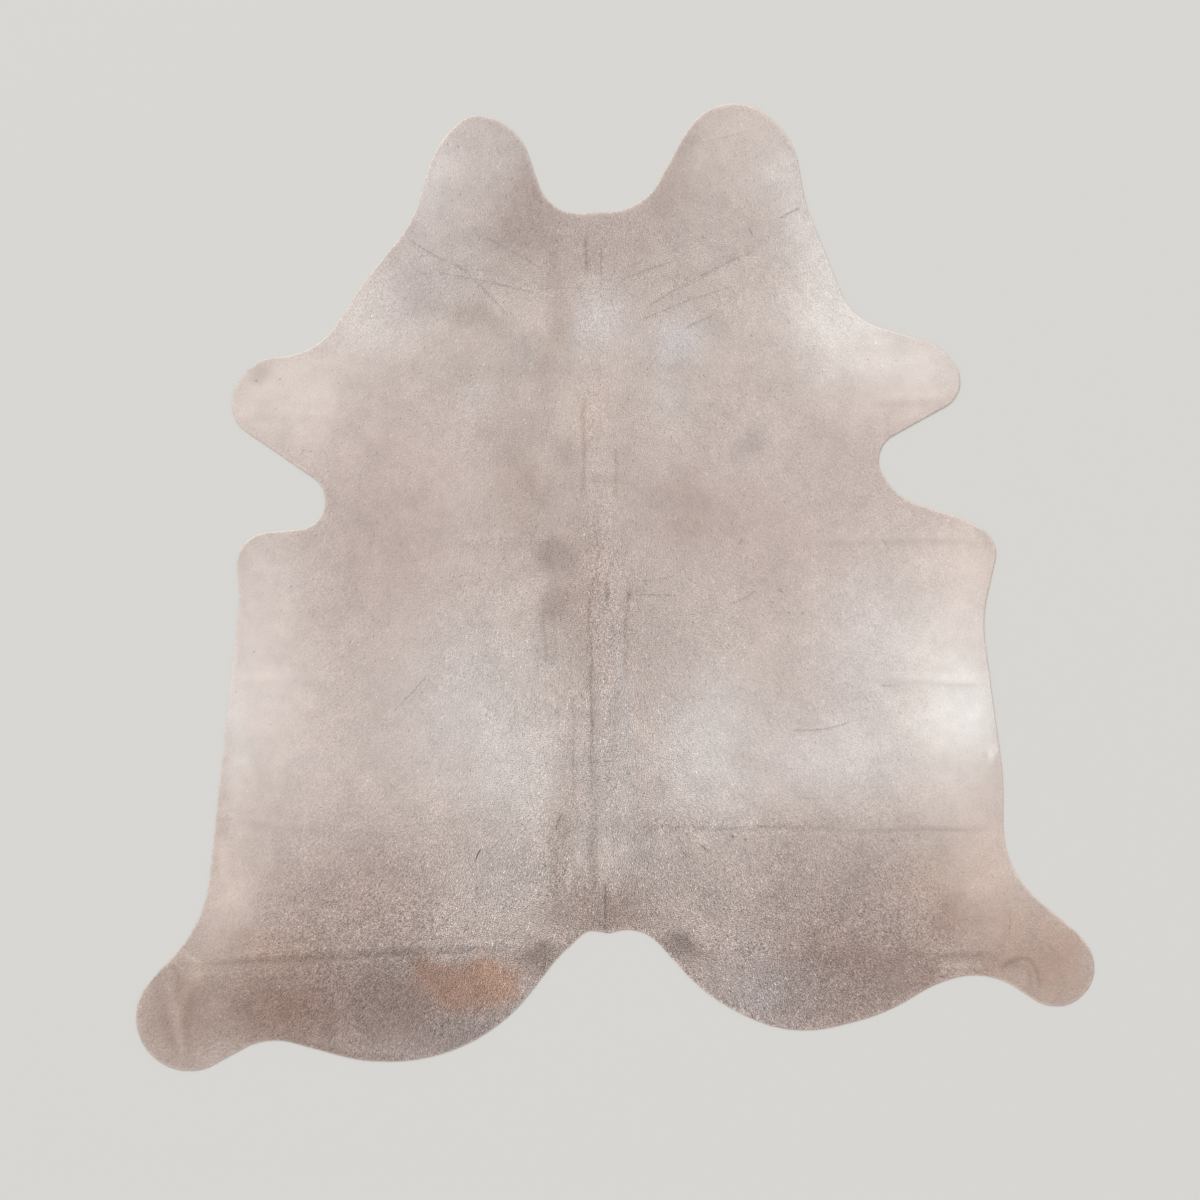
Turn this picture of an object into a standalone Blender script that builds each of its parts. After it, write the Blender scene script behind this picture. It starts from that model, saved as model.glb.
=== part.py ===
"""One whole cowhide, made as a rug: hair side up, spread flat, neck towards +Y and tail towards -Y.

The hide is a single sheet. Its cut edge is a belt of arcs: each cheek, shank and rump is a lobe that the edge
goes round, and each hollow between them is a bay. The underside lies flat on the floor at z = 0, and the hair
side carries the hide's own thickness, thick along the spine and thin at the belly, with the folds that it
was packed in, the wrinkles of its neck and hocks, and a few soft swells where it doesn't lie quite flat.

Sizes in the tables are millimetres. The model is built in metres, +Z up, about the middle of the hide's box.
"""

import math
from collections import namedtuple

import bmesh
import bpy
import numpy as np
from mathutils.geometry import delaunay_2d_cdt

MM = 0.001

# Thickness: leather and the hair that lies on it
SPINE_THICKNESS = 4.4
BELLY_THICKNESS = 3.2
EDGE_THICKNESS = 2.4
SPINE_X = -45
# How far the thick back reaches either side of the spine before it has mostly thinned to belly
BACK_HALF_WIDTH = 420

# The rounded rim: how far in each ring of points lies, and how much of the full thickness it has reached
RIM = ((3.5, 0.55), (11, 1.0))

# How finely the sheet is meshed: the steps along the arcs, along the cut edge, along a fold and across the rest
ARC_STEP = 3
EDGE_STEP = 18
FOLD_STEP = 20
GRID_STEP = 37
# The least distances that keep triangles from being slivers: from the rim's inner ring to a fold's points and
# to the grid's, between two folds' points, and from a fold's points to the grid's
RIM_TO_FOLD = 10
RIM_TO_GRID = 15
FOLD_TO_FOLD = 11
FOLD_TO_GRID = 15
# The triangulation joins points closer than this, and keeps only the triangles inside the rim's inner ring
SAME_PLACE = 1e-6
KEEP_INSIDE = 1

# Faces that meet at more than this angle, as at the cut edge, keep a hard edge between them.
SHARP_FROM = math.radians(40)

HAIR_COLOUR = (0.53, 0.47, 0.43, 1.0)
HAIR_ROUGHNESS = 0.75
HAIR_METALLIC = 0.0

# A lobe's arc bulges out of the hide, and a bay's arc cuts into it.
LOBE, BAY = 1, -1
Arc = namedtuple("Arc", "place x y radius side")

# The cut edge, clockwise as seen from above: the centre and radius of each arc. Straight cuts join the arcs.
HEAD_RIGHT = (
    Arc("cheek, inner", 305, 833, 195, LOBE),
    Arc("cheek, top", 248, 900, 110, LOBE),
    Arc("cheek, outer", 225, 855, 160, LOBE),
    Arc("neck", 710, 895, 325, BAY),
)
FORE_RIGHT = (
    Arc("shoulder", 595, 670, 135, BAY),
    Arc("front shank, upper", 610, 405, 115, LOBE),
    Arc("front shank, tip", 660, 430, 60, LOBE),
    Arc("armpit", 610, 265, 60, BAY),
    Arc("armpit, rear", 675, 295, 130, BAY),
)
FLANK_RIGHT = (
    Arc("flank corner, upper", 665, 0, 155, LOBE),
    Arc("flank corner", 735, 70, 60, LOBE),
    Arc("flank", 1075, -80, 305, BAY),
    Arc("flank, rear", 190, -435, 620, LOBE),
)
HIND_RIGHT = (
    Arc("thigh", 1020, -495, 210, BAY),
    Arc("hind shank, upper", 870, -820, 135, LOBE),
    Arc("hind shank, tip", 920, -795, 80, LOBE),
    Arc("hock", 750, -965, 155, BAY),
    Arc("hock, inner", 765, -1055, 245, BAY),
    Arc("rump, outer", 395, -490, 430, LOBE),
    Arc("rump", 395, -665, 260, LOBE),
    Arc("rump, inner", 435, -535, 395, LOBE),
)
TAIL = (
    Arc("tail, right", 25, -805, 90, BAY),
    Arc("tail stub", -12, -714, 8, LOBE),
    Arc("tail, left", -48, -752, 35, BAY),
)
HIND_LEFT = (
    Arc("buttock", 90, -958, 280, BAY),
    Arc("rump, inner", -470, -620, 370, LOBE),
    Arc("rump", -485, -655, 335, LOBE),
    Arc("hock", -710, -1080, 134, BAY),
    Arc("hind shank, tip", -890, -900, 110, LOBE),
    Arc("hind shank, upper", -820, -940, 190, LOBE),
    Arc("thigh", -1135, -575, 290, BAY),
)
FLANK_LEFT = (
    Arc("flank", -1145, -25, 360, BAY),
    Arc("flank corner", -720, 45, 70, LOBE),
)
FORE_LEFT = (
    Arc("armpit", -665, 180, 60, BAY),
    Arc("front shank, tip", -725, 385, 75, LOBE),
    Arc("front shank, upper", -705, 395, 85, LOBE),
    Arc("shoulder", -710, 635, 155, BAY),
    Arc("shoulder, upper", 160, 140, 845, LOBE),
)
HEAD_LEFT = (
    Arc("neck", -640, 875, 240, BAY),
    Arc("cheek, outer", -190, 810, 210, LOBE),
    Arc("cheek, top", -285, 920, 65, LOBE),
    Arc("cheek, inner", -295, 865, 120, LOBE),
)
POLL = (
    Arc("poll, left", -75, 870, 90, BAY),
    Arc("poll, step", -42, 755, 29, LOBE),
    Arc("poll, right", -20, 911, 128, BAY),
)
CUT_EDGE = HEAD_RIGHT + FORE_RIGHT + FLANK_RIGHT + HIND_RIGHT + TAIL + HIND_LEFT + FLANK_LEFT + FORE_LEFT
CUT_EDGE += HEAD_LEFT + POLL

# Folds and wrinkles, from start to end. The bow is how far the middle stands off the straight line, to the left
# of the way it runs. The half width is where it fades out, and the height is less than 0 for a trough. A fold
# loses height over its last fifth, and still has a little of it at its very end.
FOLD_FADE = 0.2
FOLD_END_HEIGHT = 0.15
Fold = namedtuple("Fold", "place start_x start_y end_x end_y bow half_width height")
PACKING_FOLDS = (
    Fold("rump, left", -890, -778, -195, -740, 10, 17, 2.8),
    Fold("rump, left, its trough", -880, -803, -240, -764, 10, 15, -0.8),
    Fold("rump, right", 180, -748, 800, -776, 6, 20, 1.3),
    Fold("loin, left", -835, -491, -590, -496, 0, 18, 1.2),
    Fold("loin, right", -20, -494, 800, -502, -4, 20, -0.9),
    Fold("flank, left", -790, -197, -600, -193, 2, 18, 1.2),
    Fold("flank, right", 520, -195, 778, -202, 3, 18, 1.3),
    Fold("chest, left", -370, 92, -110, 102, 3, 18, 0.8),
    Fold("chest, right", 345, 96, 785, 97, 2, 18, 1.1),
    Fold("front shank, left", -785, 358, -565, 354, 2, 18, 1.0),
    Fold("front shank, right", 500, 386, 705, 394, -2, 18, 1.0),
)
WRINKLES = (
    Fold("hock, left, upper", -925, -778, -884, -834, 4, 15, 2.4),
    Fold("hock, left, lower", -884, -834, -890, -1000, -14, 17, 3.0),
    Fold("hock, left, hollow", -968, -800, -916, -960, -8, 20, -1.2),
    Fold("hock, right, long", 606, -767, 790, -764, 3, 16, 1.4),
    Fold("hock, right, upper", 812, -668, 800, -752, 5, 16, 1.1),
    Fold("hock, right, outer", 796, -790, 890, -802, 14, 16, 1.6),
    Fold("hock, right, lower", 856, -806, 878, -858, -5, 15, 1.4),
    Fold("neck, left", -425, 722, -100, 616, -22, 17, -0.8),
    Fold("neck, right", 20, 612, 385, 772, -30, 17, -0.8),
    Fold("neck, right, lower", 130, 560, 320, 640, -8, 16, -0.6),
)
# The ridge of the backbone and the groove that runs along its rear half
BACKBONE = (
    Fold("ridge", -50, 770, -28, -700, 6, 48, 0.7),
    Fold("groove", -44, -110, -24, -706, 3, 15, -0.9),
)
FOLDS = PACKING_FOLDS + WRINKLES + BACKBONE

# Places where the hide stands a little proud or sinks, as round soft swells
Swell = namedtuple("Swell", "place x y radius height")
SWELLS = (
    Swell("flank edge, right", 745, -330, 120, 1.3),
    Swell("flank edge, left", -765, -120, 110, 1.0),
    Swell("rump rim, left", -376, -915, 75, 1.3),
    Swell("rump rim, right", 590, -800, 90, 0.9),
    Swell("hind shank, right", 940, -790, 70, 0.8),
    Swell("front shank, left", -740, 420, 80, 0.8),
    Swell("front shank, right", 640, 430, 80, 0.8),
    Swell("cheek, right", 270, 900, 110, 0.7),
    Swell("cheek, left", -280, 890, 100, 0.7),
    Swell("shoulder, left", -330, 380, 180, -0.5),
    Swell("shoulder, right", 280, 320, 200, -0.5),
)


def clear_scene():
    """Empties the scene that the script starts in."""
    for thing in list(bpy.data.objects):
        bpy.data.objects.remove(thing, do_unlink=True)


def turned_from(start, end, side):
    """The angle that an arc turns through: clockwise round a lobe and anticlockwise round a bay."""
    return -((start - end) % math.tau) if side == LOBE else (end - start) % math.tau


def belt(arcs, step):
    """A closed line that runs clockwise round the arcs, as a belt runs round pulleys.

    The line's left side faces away from a lobe's centre and towards a bay's. So a straight cut between two arcs
    has one left normal n with n . (c2 - c1) = s1 - s2, where s is the radius, less than 0 for a bay. The cut
    leaves the first arc at c1 + n s1 and meets the second at c2 + n s2. Where a lobe's arc runs on into a
    larger one that it touches from inside, n is the way between their centres, and the cut has no length.
    """
    centres = np.array([(arc.x, arc.y) for arc in arcs], float)
    reach = np.array([arc.side * arc.radius for arc in arcs], float)
    way = np.roll(centres, -1, axis=0) - centres
    apart = np.hypot(way[:, 0], way[:, 1])
    way /= apart[:, None]
    left = np.stack([-way[:, 1], way[:, 0]], axis=1)
    lean = np.clip((reach - np.roll(reach, -1)) / apart, -1, 1)
    normal = left * np.sqrt(1 - lean**2)[:, None] + way * lean[:, None]
    leaves = centres + normal * reach[:, None]
    meets = centres + np.roll(normal, 1, axis=0) * reach[:, None]
    line = []
    for arc, centre, first, last in zip(arcs, centres, meets - centres, leaves - centres):
        start = math.atan2(first[1], first[0])
        turn = turned_from(start, math.atan2(last[1], last[0]), arc.side)
        count = max(2, math.ceil(abs(turn) * arc.radius / step))
        angle = start + turn * np.linspace(0, 1, count)
        line.append(centre + arc.radius * np.stack([np.cos(angle), np.sin(angle)], axis=1))
    return np.concatenate(line)


def evenly_spaced(line, step):
    """Points about a step apart along a closed line."""
    closed = np.vstack([line, line[:1]])
    along = np.concatenate([[0], np.cumsum(np.hypot(*np.diff(closed, axis=0).T))])
    count = round(along[-1] / step)
    at = np.arange(count) * along[-1] / count
    return np.stack([np.interp(at, along, closed[:, k]) for k in (0, 1)], axis=1)


def inset(line, distance):
    """The clockwise closed line moved into the hide, which lies on its right."""
    way = np.roll(line, -1, axis=0) - np.roll(line, 1, axis=0)
    way /= np.hypot(way[:, 0], way[:, 1])[:, None]
    return line + distance * np.stack([way[:, 1], -way[:, 0]], axis=1)


def bowed(fold, share):
    """Points at shares 0 to 1 of a fold's length, on a parabola through its ends with the bow at its middle."""
    start = np.array([fold.start_x, fold.start_y], float)
    way = np.array([fold.end_x, fold.end_y], float) - start
    left = np.array([-way[1], way[0]]) / np.hypot(*way)
    return start + share[:, None] * way + (4 * fold.bow * share * (1 - share))[:, None] * left


def fold_height(fold, points):
    """A soft ridge or trough: height (1 - d^2)^2 at d half widths from its crest, faded at its ends."""
    start = np.array([fold.start_x, fold.start_y], float)
    way = np.array([fold.end_x, fold.end_y], float) - start
    length = np.hypot(*way)
    way /= length
    left = np.array([-way[1], way[0]])
    share = (points - start) @ way / length
    off = (points - start) @ left - 4 * fold.bow * share * (1 - share)
    across = np.clip(1 - (off / fold.half_width) ** 2, 0, 1) ** 2
    ends = np.clip(np.minimum(share, 1 - share) / FOLD_FADE + FOLD_END_HEIGHT, 0, 1)
    return fold.height * across * ends


def swell_height(swell, points):
    """A round swell: height (1 - r^2)^2 within its radius."""
    near = 1 - ((points[:, 0] - swell.x) ** 2 + (points[:, 1] - swell.y) ** 2) / swell.radius**2
    return swell.height * np.clip(near, 0, 1) ** 2


def thickness(points):
    """The sheet's thickness: a bell curve from belly to back, with the folds and swells added."""
    back = np.exp(-(((points[:, 0] - SPINE_X) / BACK_HALF_WIDTH) ** 2))
    height = BELLY_THICKNESS + (SPINE_THICKNESS - BELLY_THICKNESS) * back
    for fold in FOLDS:
        height += fold_height(fold, points)
    for swell in SWELLS:
        height += swell_height(swell, points)
    return height


def inside(points, line):
    """Which points lie inside a closed line, by counting the sides that a ray towards +X crosses."""
    x, y = points[:, 0, None], points[:, 1, None]
    ax, ay = line[:, 0], line[:, 1]
    bx, by = np.roll(line, -1, axis=0).T
    spans = (ay > y) != (by > y)
    rise = np.where(by == ay, 1.0, by - ay)
    crossing = ax + (y - ay) * (bx - ax) / rise
    return (spans & (crossing > x)).sum(axis=1) % 2 == 1


def away_from(points, others):
    """The distance from each point to the nearest of the others."""
    gap = points[:, None, :] - others[None, :, :]
    return np.sqrt((gap**2).sum(axis=2).min(axis=1))


def fold_points(ring):
    """Three rows of points along each fold, its crest and both its shoulders, kept apart from earlier rows."""
    chosen = np.empty((0, 2))
    for fold in FOLDS:
        length = math.hypot(fold.end_x - fold.start_x, fold.end_y - fold.start_y)
        share = np.linspace(0, 1, max(3, round(length / FOLD_STEP)))
        crest = bowed(fold, share)
        across = np.array([fold.start_y - fold.end_y, fold.end_x - fold.start_x]) / length
        rows = [crest + side * fold.half_width * across for side in (0, 1, -1)]
        row = np.concatenate(rows)
        row = row[inside(row, ring)]
        row = row[away_from(row, ring) > RIM_TO_FOLD]
        if len(chosen) and len(row):
            row = row[away_from(row, chosen) > FOLD_TO_FOLD]
        chosen = np.vstack([chosen, row])
    return chosen


def grid_points(ring, taken):
    """A honeycomb of points over the rest of the hide, clear of the edge and of the folds."""
    low, high = ring.min(axis=0), ring.max(axis=0)
    row_step = GRID_STEP * math.sqrt(3) / 2
    rows = np.arange(low[1], high[1], row_step)
    columns = np.arange(low[0], high[0], GRID_STEP)
    x = np.tile(columns, (len(rows), 1)) + (np.arange(len(rows)) % 2)[:, None] * GRID_STEP / 2
    y = np.tile(rows[:, None], (1, len(columns)))
    points = np.stack([x.ravel(), y.ravel()], axis=1)
    points = points[inside(points, ring)]
    points = points[away_from(points, ring) > RIM_TO_GRID]
    return points[away_from(points, taken) > FOLD_TO_GRID]


def hide_mesh():
    """The closed sheet: a flat underside, a cut wall, a rounded rim and a top of triangles."""
    edge = evenly_spaced(belt(CUT_EDGE, ARC_STEP), EDGE_STEP)
    edge -= (edge.min(axis=0) + edge.max(axis=0)) / 2
    count = len(edge)
    rings = [np.column_stack([edge, np.zeros(count)])]
    rings.append(np.column_stack([edge, np.full(count, EDGE_THICKNESS)]))
    for distance, share in RIM:
        line = inset(edge, distance)
        height = EDGE_THICKNESS + share * (thickness(line) - EDGE_THICKNESS)
        rings.append(np.column_stack([line, height]))
    inner = rings[-1][:, :2]
    folds = fold_points(inner)
    field = np.vstack([folds, grid_points(inner, folds)])
    top = np.vstack([inner, field])
    sides = [(i, (i + 1) % count) for i in range(count)]
    _, _, faces, source, _, _ = delaunay_2d_cdt(top.tolist(), sides, [], KEEP_INSIDE, SAME_PLACE)
    first_top = (len(rings) - 1) * count
    corners = np.vstack(rings + [np.column_stack([field, thickness(field)])]) * MM
    shape = bmesh.new()
    dots = [shape.verts.new(corner) for corner in corners]
    shape.faces.new([dots[i] for i in range(count)])
    for lower in range(0, first_top, count):
        for i, j in sides:
            upper = lower + count
            shape.faces.new([dots[lower + i], dots[upper + i], dots[upper + j], dots[lower + j]])
    for face in faces:
        shape.faces.new([dots[first_top + source[i][0]] for i in face])
    bmesh.ops.recalc_face_normals(shape, faces=shape.faces)
    bmesh.ops.triangulate(shape, faces=shape.faces)
    mesh = bpy.data.meshes.new("hide")
    shape.to_mesh(mesh)
    shape.free()
    mesh.shade_smooth()
    mesh.set_sharp_from_angle(angle=SHARP_FROM)
    return mesh


def hair_material():
    """The coat as one plain colour: grey-beige hair, dull."""
    material = bpy.data.materials.new("hair")
    material.use_nodes = True
    shader = material.node_tree.nodes["Principled BSDF"]
    shader.inputs["Base Color"].default_value = HAIR_COLOUR
    shader.inputs["Roughness"].default_value = HAIR_ROUGHNESS
    shader.inputs["Metallic"].default_value = HAIR_METALLIC
    return material


def main():
    clear_scene()
    hide = bpy.data.objects.new("hide", hide_mesh())
    hide.data.materials.append(hair_material())
    bpy.context.scene.collection.objects.link(hide)


main()
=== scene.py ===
import math
from collections import namedtuple

import bpy
import numpy as np
from mathutils.geometry import delaunay_2d_cdt
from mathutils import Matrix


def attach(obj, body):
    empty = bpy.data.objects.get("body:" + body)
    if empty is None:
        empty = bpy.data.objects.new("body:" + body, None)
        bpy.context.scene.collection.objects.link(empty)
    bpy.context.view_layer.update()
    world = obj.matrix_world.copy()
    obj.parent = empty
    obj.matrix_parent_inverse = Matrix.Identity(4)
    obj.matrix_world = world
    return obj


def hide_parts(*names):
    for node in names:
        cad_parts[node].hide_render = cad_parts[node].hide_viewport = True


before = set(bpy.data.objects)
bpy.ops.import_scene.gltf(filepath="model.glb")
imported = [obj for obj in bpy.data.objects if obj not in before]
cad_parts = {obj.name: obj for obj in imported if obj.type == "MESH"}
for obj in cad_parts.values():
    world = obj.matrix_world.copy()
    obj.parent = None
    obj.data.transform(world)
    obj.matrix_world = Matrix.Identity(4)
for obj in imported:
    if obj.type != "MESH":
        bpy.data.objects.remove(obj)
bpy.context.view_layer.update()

# %% [markdown]
# ## The view
#
# The rug was photographed from straight above. A picture 1200 pixels wide shows 2.09 mm of floor in each
# pixel, and the middle of the rug lies a little right of the middle of the picture and above it. A camera
# could be moved by its shift, but moving the camera itself gives the same picture and leaves the shift at
# nothing.
# %% Camera
MM = 0.001
PHOTO_SIDE = 1200
PIXEL = 2.09 * MM
RUG_MIDDLE = (614.9, 586.9)
LENS, SENSOR = 50, 36

view_width = PHOTO_SIDE * PIXEL
camera = bpy.data.objects.new("camera", bpy.data.cameras.new("camera"))
camera.data.lens, camera.data.sensor_width = LENS, SENSOR
camera.location.x = (PHOTO_SIDE / 2 - RUG_MIDDLE[0]) * PIXEL
camera.location.y = (RUG_MIDDLE[1] - PHOTO_SIDE / 2) * PIXEL
camera.location.z = view_width * LENS / SENSOR
bpy.context.scene.collection.objects.link(camera)
bpy.context.scene.camera = camera
print(f"the camera sees {view_width:.3f} m of floor from {camera.location.z:.2f} m up")

# %% [markdown]
# ## Colours and nodes
#
# Colours are written as they look on a screen, in sRGB hex. Blender computes in linear light, so one function
# turns them. Another adds any node of a material with its settings and links, which keeps materials readable.
# %% Helpers for materials
def screen(shade):
    """An sRGB hex colour as shares from 0 to 1."""
    return np.array([int(shade[i : i + 2], 16) / 255 for i in (0, 2, 4)])


def linear_light(shares):
    """Linear light of sRGB shares: v / 12.92 up to 0.04045 and ((v + 0.055) / 1.055)^2.4 above."""
    return np.where(shares <= 0.04045, shares / 12.92, ((shares + 0.055) / 1.055) ** 2.4)


def paint(shade):
    """An sRGB hex colour as a shader's linear (r, g, b, 1)."""
    return (*linear_light(screen(shade)), 1)


def add(tree, kind, settings, sockets):
    """Adds a node, gives it its settings, and fills its sockets with values or with other nodes' outputs."""
    made = tree.nodes.new("ShaderNode" + kind)
    for name, value in settings.items():
        setattr(made, name, value)
    for name, value in sockets.items():
        if isinstance(value, bpy.types.NodeSocket):
            tree.links.new(value, made.inputs[name])
        else:
            made.inputs[name].default_value = value
    return made


def new_material(name):
    """A material with an empty node tree and its output node."""
    material = bpy.data.materials.new(name)
    material.use_nodes = True
    material.node_tree.nodes.clear()
    return material, material.node_tree, add(material.node_tree, "OutputMaterial", {}, {})


print("tan hair is", np.round(paint("9E7C6B"), 3), "in linear light")

# %% [markdown]
# ## Floor and light
#
# A plain pale floor and soft studio light. Folds only 1 to 3 mm high show because more of the light comes
# from one side, above the left shoulder. A sun lamp with a wide angle does that evenly over the whole two
# metres, where a near area lamp would leave the far end darker, and a pale sky fills the shadows.
# %% Floor and light
FLOOR_SIZE = 30
FLOOR_DROP = 0.2 * MM
FLOOR_COLOUR = "D8D6D2"
SUN_STRENGTH, SUN_ANGLE = 1.75, math.radians(28)
SUN_HEIGHT, SUN_SIDE = math.radians(42), math.radians(38)
SKY_STRENGTH = 0.62

floor_mesh = bpy.data.meshes.new("floor")
reach = FLOOR_SIZE / 2
corners = [(-reach, -reach), (reach, -reach), (reach, reach), (-reach, reach)]
floor_mesh.from_pydata([(x, y, -FLOOR_DROP) for x, y in corners], [], [(0, 1, 2, 3)])
floor = bpy.data.objects.new("floor", floor_mesh)
bpy.context.scene.collection.objects.link(floor)

floor_paint, tree, output = new_material("matt_pale_floor")
shader = add(tree, "BsdfPrincipled", {}, {"Base Color": paint(FLOOR_COLOUR), "Roughness": 0.8})
tree.links.new(shader.outputs[0], output.inputs[0])
floor_mesh.materials.append(floor_paint)

sun = bpy.data.objects.new("sun", bpy.data.lights.new("sun", "SUN"))
sun.data.energy, sun.data.angle = SUN_STRENGTH, SUN_ANGLE
sun.rotation_euler = (-(math.pi / 2 - SUN_HEIGHT), 0, SUN_SIDE)
bpy.context.scene.collection.objects.link(sun)

world = bpy.data.worlds.new("studio")
world.use_nodes = True
world.node_tree.nodes["Background"].inputs["Color"].default_value = (1, 1, 1, 1)
world.node_tree.nodes["Background"].inputs["Strength"].default_value = SKY_STRENGTH
bpy.context.scene.world = world
bpy.context.scene.view_settings.view_transform = "Standard"
print("the sun stands", round(math.degrees(SUN_HEIGHT)), "degrees up")

# %% [markdown]
# ## The cut edge
#
# A hide is trimmed by knife in long smooth sweeps: each cheek, shank and rump is a lobe, and each hollow
# between them a bay. It could be a spline through many points, but a belt round circles says the same with
# few numbers, and every cut is a straight line or a round sweep. The circles are the ones that the solid
# was made with.
# %% The arcs of the cut edge, in millimetres
LOBE, BAY = 1, -1
Arc = namedtuple("Arc", "place x y radius side")
HEAD_RIGHT = (
    Arc("cheek, inner", 305, 833, 195, LOBE),
    Arc("cheek, top", 248, 900, 110, LOBE),
    Arc("cheek, outer", 225, 855, 160, LOBE),
    Arc("neck", 710, 895, 325, BAY),
)
FORE_RIGHT = (
    Arc("shoulder", 595, 670, 135, BAY),
    Arc("front shank, upper", 610, 405, 115, LOBE),
    Arc("front shank, tip", 660, 430, 60, LOBE),
    Arc("armpit", 610, 265, 60, BAY),
    Arc("armpit, rear", 675, 295, 130, BAY),
)
FLANK_RIGHT = (
    Arc("flank corner, upper", 665, 0, 155, LOBE),
    Arc("flank corner", 735, 70, 60, LOBE),
    Arc("flank", 1075, -80, 305, BAY),
    Arc("flank, rear", 190, -435, 620, LOBE),
)
HIND_RIGHT = (
    Arc("thigh", 1020, -495, 210, BAY),
    Arc("hind shank, upper", 870, -820, 135, LOBE),
    Arc("hind shank, tip", 920, -795, 80, LOBE),
    Arc("hock", 750, -965, 155, BAY),
    Arc("hock, inner", 765, -1055, 245, BAY),
    Arc("rump, outer", 395, -490, 430, LOBE),
    Arc("rump", 395, -665, 260, LOBE),
    Arc("rump, inner", 435, -535, 395, LOBE),
)
TAIL = (
    Arc("tail, right", 25, -805, 90, BAY),
    Arc("tail stub", -12, -714, 8, LOBE),
    Arc("tail, left", -48, -752, 35, BAY),
)
HIND_LEFT = (
    Arc("buttock", 90, -958, 280, BAY),
    Arc("rump, inner", -470, -620, 370, LOBE),
    Arc("rump", -485, -655, 335, LOBE),
    Arc("hock", -710, -1080, 134, BAY),
    Arc("hind shank, tip", -890, -900, 110, LOBE),
    Arc("hind shank, upper", -820, -940, 190, LOBE),
    Arc("thigh", -1135, -575, 290, BAY),
)
FLANK_LEFT = (
    Arc("flank", -1145, -25, 360, BAY),
    Arc("flank corner", -720, 45, 70, LOBE),
)
FORE_LEFT = (
    Arc("armpit", -665, 180, 60, BAY),
    Arc("front shank, tip", -725, 385, 75, LOBE),
    Arc("front shank, upper", -705, 395, 85, LOBE),
    Arc("shoulder", -710, 635, 155, BAY),
    Arc("shoulder, upper", 160, 140, 845, LOBE),
)
HEAD_LEFT = (
    Arc("neck", -640, 875, 240, BAY),
    Arc("cheek, outer", -190, 810, 210, LOBE),
    Arc("cheek, top", -285, 920, 65, LOBE),
    Arc("cheek, inner", -295, 865, 120, LOBE),
)
POLL = (
    Arc("poll, left", -75, 870, 90, BAY),
    Arc("poll, step", -42, 755, 29, LOBE),
    Arc("poll, right", -20, 911, 128, BAY),
)
CUT_EDGE = HEAD_RIGHT + FORE_RIGHT + FLANK_RIGHT + HIND_RIGHT + TAIL + HIND_LEFT + FLANK_LEFT + FORE_LEFT
CUT_EDGE += HEAD_LEFT + POLL

# %% The line of the cut
ARC_STEP, EDGE_STEP = 3, 4.2


def turned_from(start, end, side):
    """The angle that an arc turns through: clockwise round a lobe and anticlockwise round a bay."""
    return -((start - end) % math.tau) if side == LOBE else (end - start) % math.tau


def belt(arcs, step):
    """A closed line that runs clockwise round the arcs, as a belt runs round pulleys.

    With s the radius, less than 0 for a bay, the straight cut between two arcs has the left normal n for
    which n . (c2 - c1) = s1 - s2. It leaves the first arc at c1 + n s1 and meets the second at c2 + n s2.
    """
    centres = np.array([(arc.x, arc.y) for arc in arcs], float)
    reach = np.array([arc.side * arc.radius for arc in arcs], float)
    way = np.roll(centres, -1, axis=0) - centres
    apart = np.hypot(way[:, 0], way[:, 1])
    way /= apart[:, None]
    left = np.stack([-way[:, 1], way[:, 0]], axis=1)
    lean = np.clip((reach - np.roll(reach, -1)) / apart, -1, 1)
    normal = left * np.sqrt(1 - lean**2)[:, None] + way * lean[:, None]
    leaves = centres + normal * reach[:, None]
    meets = centres + np.roll(normal, 1, axis=0) * reach[:, None]
    line = []
    for arc, centre, first, last in zip(arcs, centres, meets - centres, leaves - centres):
        start = math.atan2(first[1], first[0])
        turn = turned_from(start, math.atan2(last[1], last[0]), arc.side)
        count = max(2, math.ceil(abs(turn) * arc.radius / step))
        angle = start + turn * np.linspace(0, 1, count)
        line.append(centre + arc.radius * np.stack([np.cos(angle), np.sin(angle)], axis=1))
    return np.concatenate(line)


def evenly_spaced(line, step):
    """Points about a step apart along a closed line."""
    closed = np.vstack([line, line[:1]])
    along = np.concatenate([[0], np.cumsum(np.hypot(*np.diff(closed, axis=0).T))])
    count = round(along[-1] / step)
    at = np.arange(count) * along[-1] / count
    return np.stack([np.interp(at, along, closed[:, k]) for k in (0, 1)], axis=1)


def outward(line):
    """Unit normals of the clockwise closed line, away from the hide, which lies on its right."""
    way = np.roll(line, -1, axis=0) - np.roll(line, 1, axis=0)
    way /= np.hypot(way[:, 0], way[:, 1])[:, None]
    return np.stack([-way[:, 1], way[:, 0]], axis=1)


edge = evenly_spaced(belt(CUT_EDGE, ARC_STEP), EDGE_STEP)
edge_shift = (edge.min(axis=0) + edge.max(axis=0)) / 2
edge = edge - edge_shift
print(len(edge), "points round the cut, box", np.ptp(edge, axis=0).round(1), "mm")

# %% [markdown]
# Many steps ask how far a place is from the cut, and on which side. Working that out for every hair would
# take long, so it is worked out once on a coarse lattice, and read off between its points after that.
# %% Distance from the cut
LATTICE_STEP, LATTICE_MARGIN = 6, 60
# Distances are worked out for this many places at a time, to spare memory.
CHUNK = 2000
lattice_low = edge.min(axis=0) - LATTICE_MARGIN
lattice_size = np.ptp(edge, axis=0) + 2 * LATTICE_MARGIN
lattice_count = np.ceil(lattice_size / LATTICE_STEP).astype(int) + 1


def nearest(points, others):
    """The distance from each point to the nearest of the others."""
    parts = []
    for part in np.array_split(points, max(1, len(points) // CHUNK)):
        gap = part[:, None, :] - others[None, :, :]
        parts.append(np.sqrt((gap**2).sum(axis=2).min(axis=1)))
    return np.concatenate(parts)


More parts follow.
